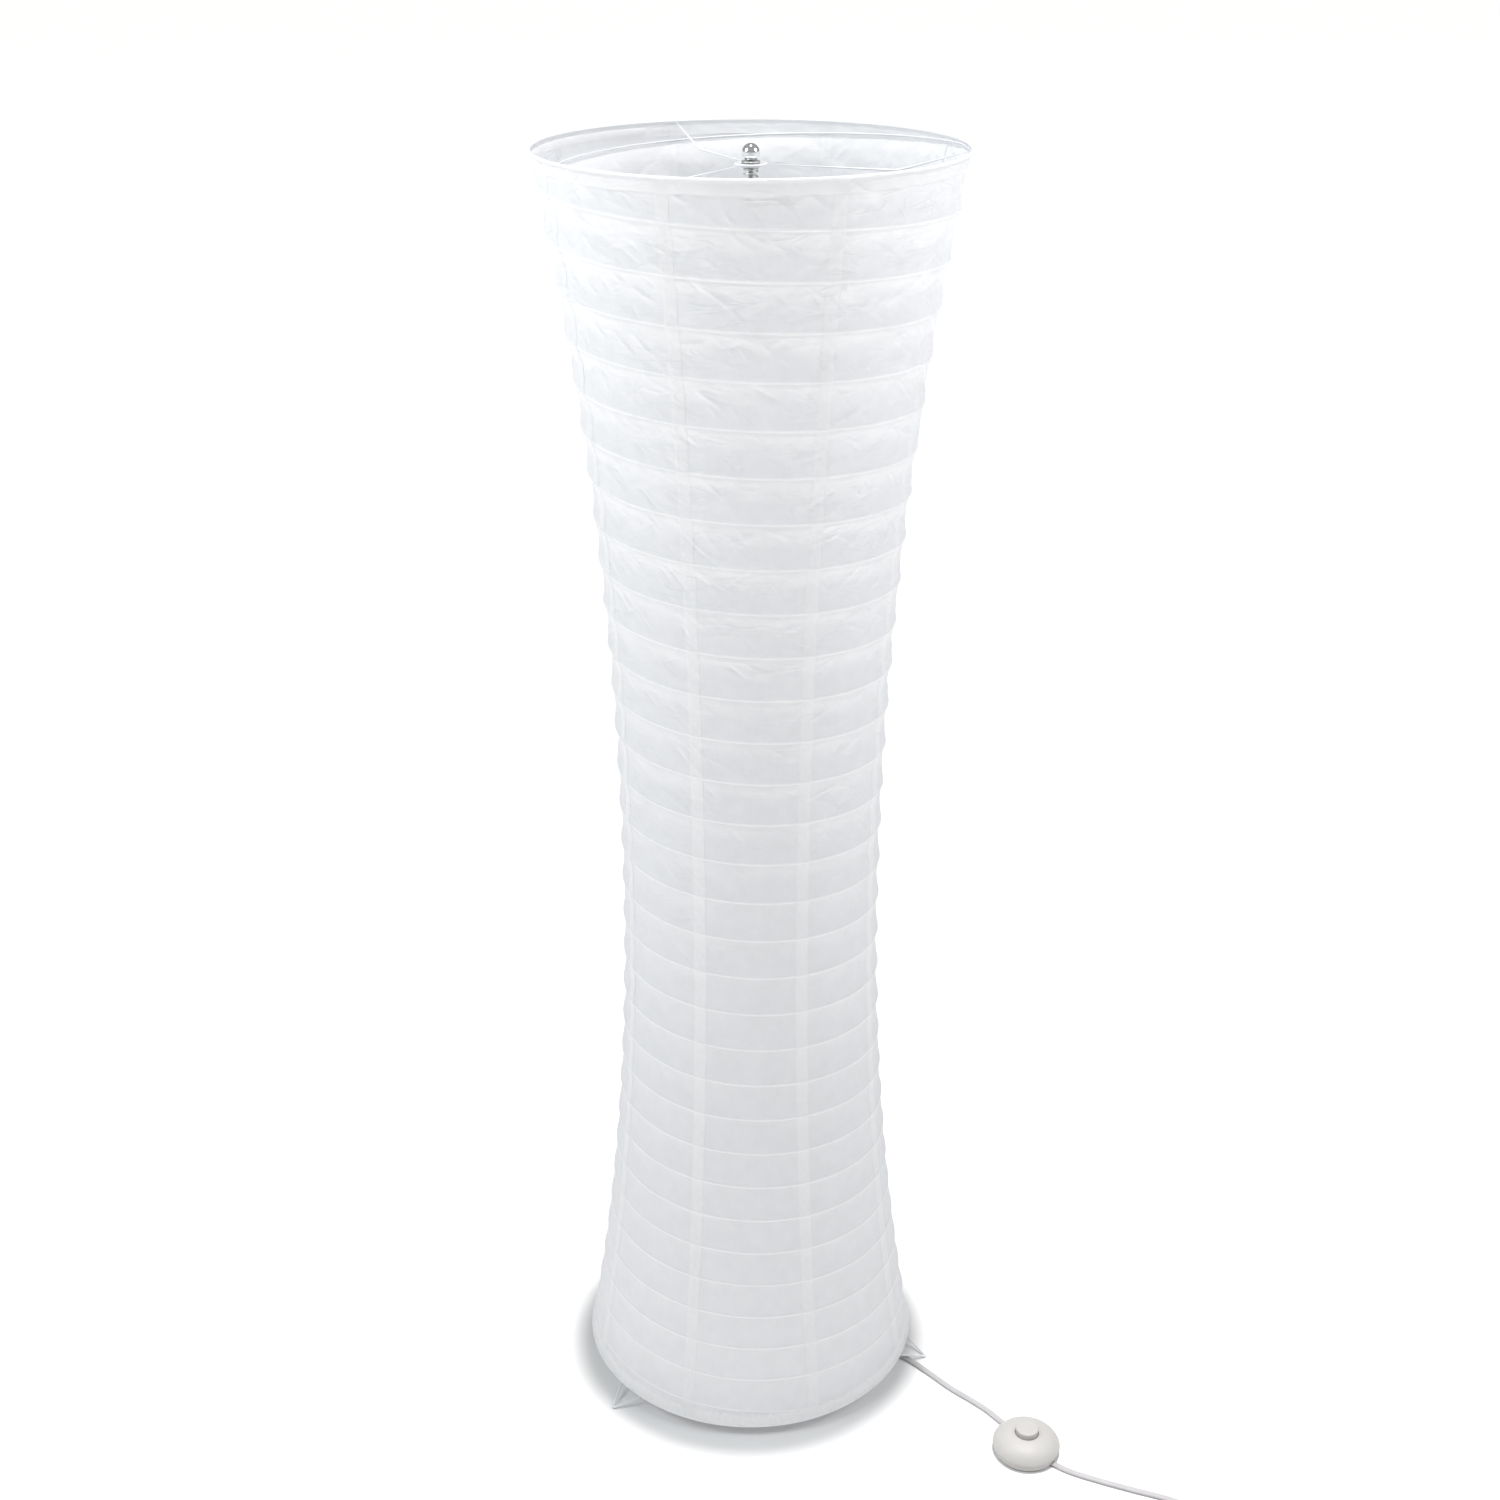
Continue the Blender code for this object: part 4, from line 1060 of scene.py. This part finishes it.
def make_cord():
    boot_start = polar(LEG_AZIMUTHS["leg_right"], GLAND_END + 0.0003, 0.0, 0.0037)
    boot_end = polar(LEG_AZIMUTHS["leg_right"], BOOT_END, 0.0, 0.0028)
    stops = np.linspace(0.0, 1.0, 45)
    a, b = np.array(boot_start), np.array(boot_end)
    points, sides = [], 32
    along = (b - a) / np.linalg.norm(b - a)
    up = np.array((0.0, 0.0, 1.0))
    across = np.cross(along, up)
    for s in stops:
        ribbed = BOOT_RIB * (0.5 + 0.5 * math.cos(2 * math.pi * s * 7))
        r = BOOT_RADIUS - BOOT_TAPER * s - (ribbed if 0.06 < s < 0.94 else 0.0)
        for k in range(sides):
            t = 2 * math.pi * k / sides
            points.append(a + (b - a) * s + r * (math.cos(t) * across + math.sin(t) * up))
    boot_mesh = mesh_from("boot", points, ring_faces(len(stops), sides), 60.0)
    boot = place_piece("boot", boot_mesh, CORD, ["cord_boot"])
    finish_cad("cord_gland", HOLDER, 0.0006)

    path = cord_route()
    mesh = swept_mesh("mains_cord", path, twin_section())
    nodes = ["cord_near", "cord_far", "cord_coil", "cord_tail"]
    cord = place_piece("mains_cord", mesh, CORD, nodes)
    finish_cad("coil_tie", HOLDER, 0.0002)
    on_cord = make_switch() + make_plug() + [boot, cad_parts["coil_tie"]]


def make_switch():
    x, y = SWITCH_CENTRE
    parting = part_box("switch_base")[1].z
    base = [
        (0.0, 0.0020), (0.0262, 0.0020), (0.0262, parting), (0.0313, parting),
        (0.0316, parting - 0.0006), (0.0312, 0.0034), (0.0301, 0.0010), (0.0288, 0.0),
        (0.0, 0.0),
    ]
    lower = lathe(
        "switch_lower", base, SWITCH, "switch_plastic", ["switch_base"], centre=(x, y, 0.0),
        steps=128,
    )
    dome = [
        (0.0113, 0.0222), (0.0140, 0.0221), (0.0175, 0.0214), (0.0205, 0.0204),
        (0.0235, 0.0190), (0.0262, 0.0173), (0.0285, 0.0153), (0.0304, 0.0130),
        (0.0318, 0.0106), (0.0325, 0.0087), (0.0323, 0.0079), (0.0316, 0.0078),
    ]
    inside = [
        (0.0300, 0.0078), (0.0300, 0.0100), (0.0280, 0.0125), (0.0235, 0.0162),
        (0.0170, 0.0192), (0.0113, 0.0202),
    ]
    upper = lathe(
        "switch_upper", dome + inside, SWITCH, "switch_plastic", ["switch_cover"],
        centre=(x, y, 0.0), steps=128, soft=0.0012, sharp=60.0,
    )
    button = [
        (0.0, 0.0280), (0.0060, 0.0280), (0.0092, 0.0280), (0.0106, 0.0276), (0.0110, 0.0266),
        (0.0110, 0.0120), (0.0040, 0.0120), (0.0040, 0.0090), (0.0, 0.0090),
    ]
    press = lathe(
        "switch_press", button, SWITCH, "switch_plastic", ["switch_button"], body="foot_button",
        centre=(x, y, 0.0), steps=96, soft=0.0007, sharp=60.0,
    )
    low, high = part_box("switch_spring")
    turns = np.linspace(0.0, 3.0, 109)
    a = 2 * math.pi * turns
    z = low.z + 0.0004 + (high.z - low.z - 0.0008) * turns / 3.0
    path = np.stack([x + 0.0070 * np.cos(a), y + 0.0070 * np.sin(a), z], axis=1)
    spring = wire_piece("press_spring", path, 0.0004, ZINC, ["switch_spring"], sides=8)
    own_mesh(spring)
    return [lower, upper, press, spring]


def rounded_rectangle(half_wide, half_high, corner):
    outline, steps = [], 6
    wide, high = half_wide - corner, half_high - corner
    for turn, (x, y) in enumerate(((wide, high), (-wide, high), (-wide, -high), (wide, -high))):
        for i in range(steps + 1):
            a = math.radians(90.0 * turn + 90.0 * i / steps)
            outline.append((x + corner * math.cos(a), y + corner * math.sin(a)))
    return outline


PIN_SPACING = 0.0186


def make_plug():
    """A flat two-pin plug: a lofted body with grip ribs, and pins half in sleeves."""
    x, y = PLUG_BACK
    z = 0.00685
    sections = [
        (0.0000, 0.0042, 0.0030), (0.0008, 0.0048, 0.0034), (0.0060, 0.0062, 0.0043),
        (0.0110, 0.0088, 0.0052), (0.0160, 0.0128, 0.0060), (0.0205, 0.0158, 0.0065),
        (0.0230, 0.0166, 0.0066), (0.0240, 0.0163, 0.0063), (0.0250, 0.0166, 0.0066),
        (0.0262, 0.0168, 0.0067), (0.0272, 0.0165, 0.0064), (0.0282, 0.0168, 0.0067),
        (0.0294, 0.0170, 0.0067), (0.0304, 0.0167, 0.0064), (0.0314, 0.0170, 0.0067),
        (0.0345, 0.0174, 0.0068), (0.0356, 0.0172, 0.0066), (0.0360, 0.0164, 0.0058),
    ]
    points = []
    for along, wide, high in sections:
        for across, up in rounded_rectangle(wide, high, min(wide, high) * 0.72):
            points.append((x - along, y + across, z + up))
    sides = len(points) // len(sections)
    mesh = mesh_from("plug", points, ring_faces(len(sections), sides))
    made = [place_piece("plug", mesh, SWITCH, ["plug_body"])]
    for number, sign in enumerate((-1, 1), start=1):
        low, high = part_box(f"plug_pin_{number}")
        for part, start, end, radius, mat, slot in (
            ("tip", low.x, low.x + 0.0095, 0.0020, NICKEL, "plug_pins"),
            ("sleeve", low.x + 0.0095, high.x + 0.0003, 0.0019, SWITCH, "switch_plastic"),
        ):
            stops = [start, start + 0.0006, start + 0.0015, end - 0.0004, end]
            sizes = [0.45, 0.85, 1.0, 1.0, 0.97] if part == "tip" else [1.0] * 5
            points, sides = [], 32
            for at, size in zip(stops, sizes):
                for k in range(sides):
                    a = 2 * math.pi * k / sides
                    r = radius * size
                    across, up = y + sign * PIN_SPACING / 2 + r * math.cos(a), z + r * math.sin(a)
                    points.append((at, across, up))
            name = f"pin_{part}_{number}"
            mesh = mesh_from(name, points, ring_faces(len(stops), sides), 50.0)
            nodes = [f"plug_pin_{number}"] if part == "tip" else ()
            made.append(place_piece(name, mesh, mat, nodes))
    return made


make_cord()
make_shade()
make_hoops()
make_spider()
make_top_fittings()
make_pole()
for which_holder in ("lower", "upper"):
    make_holder(which_holder)
make_inner_wiring()
make_base()
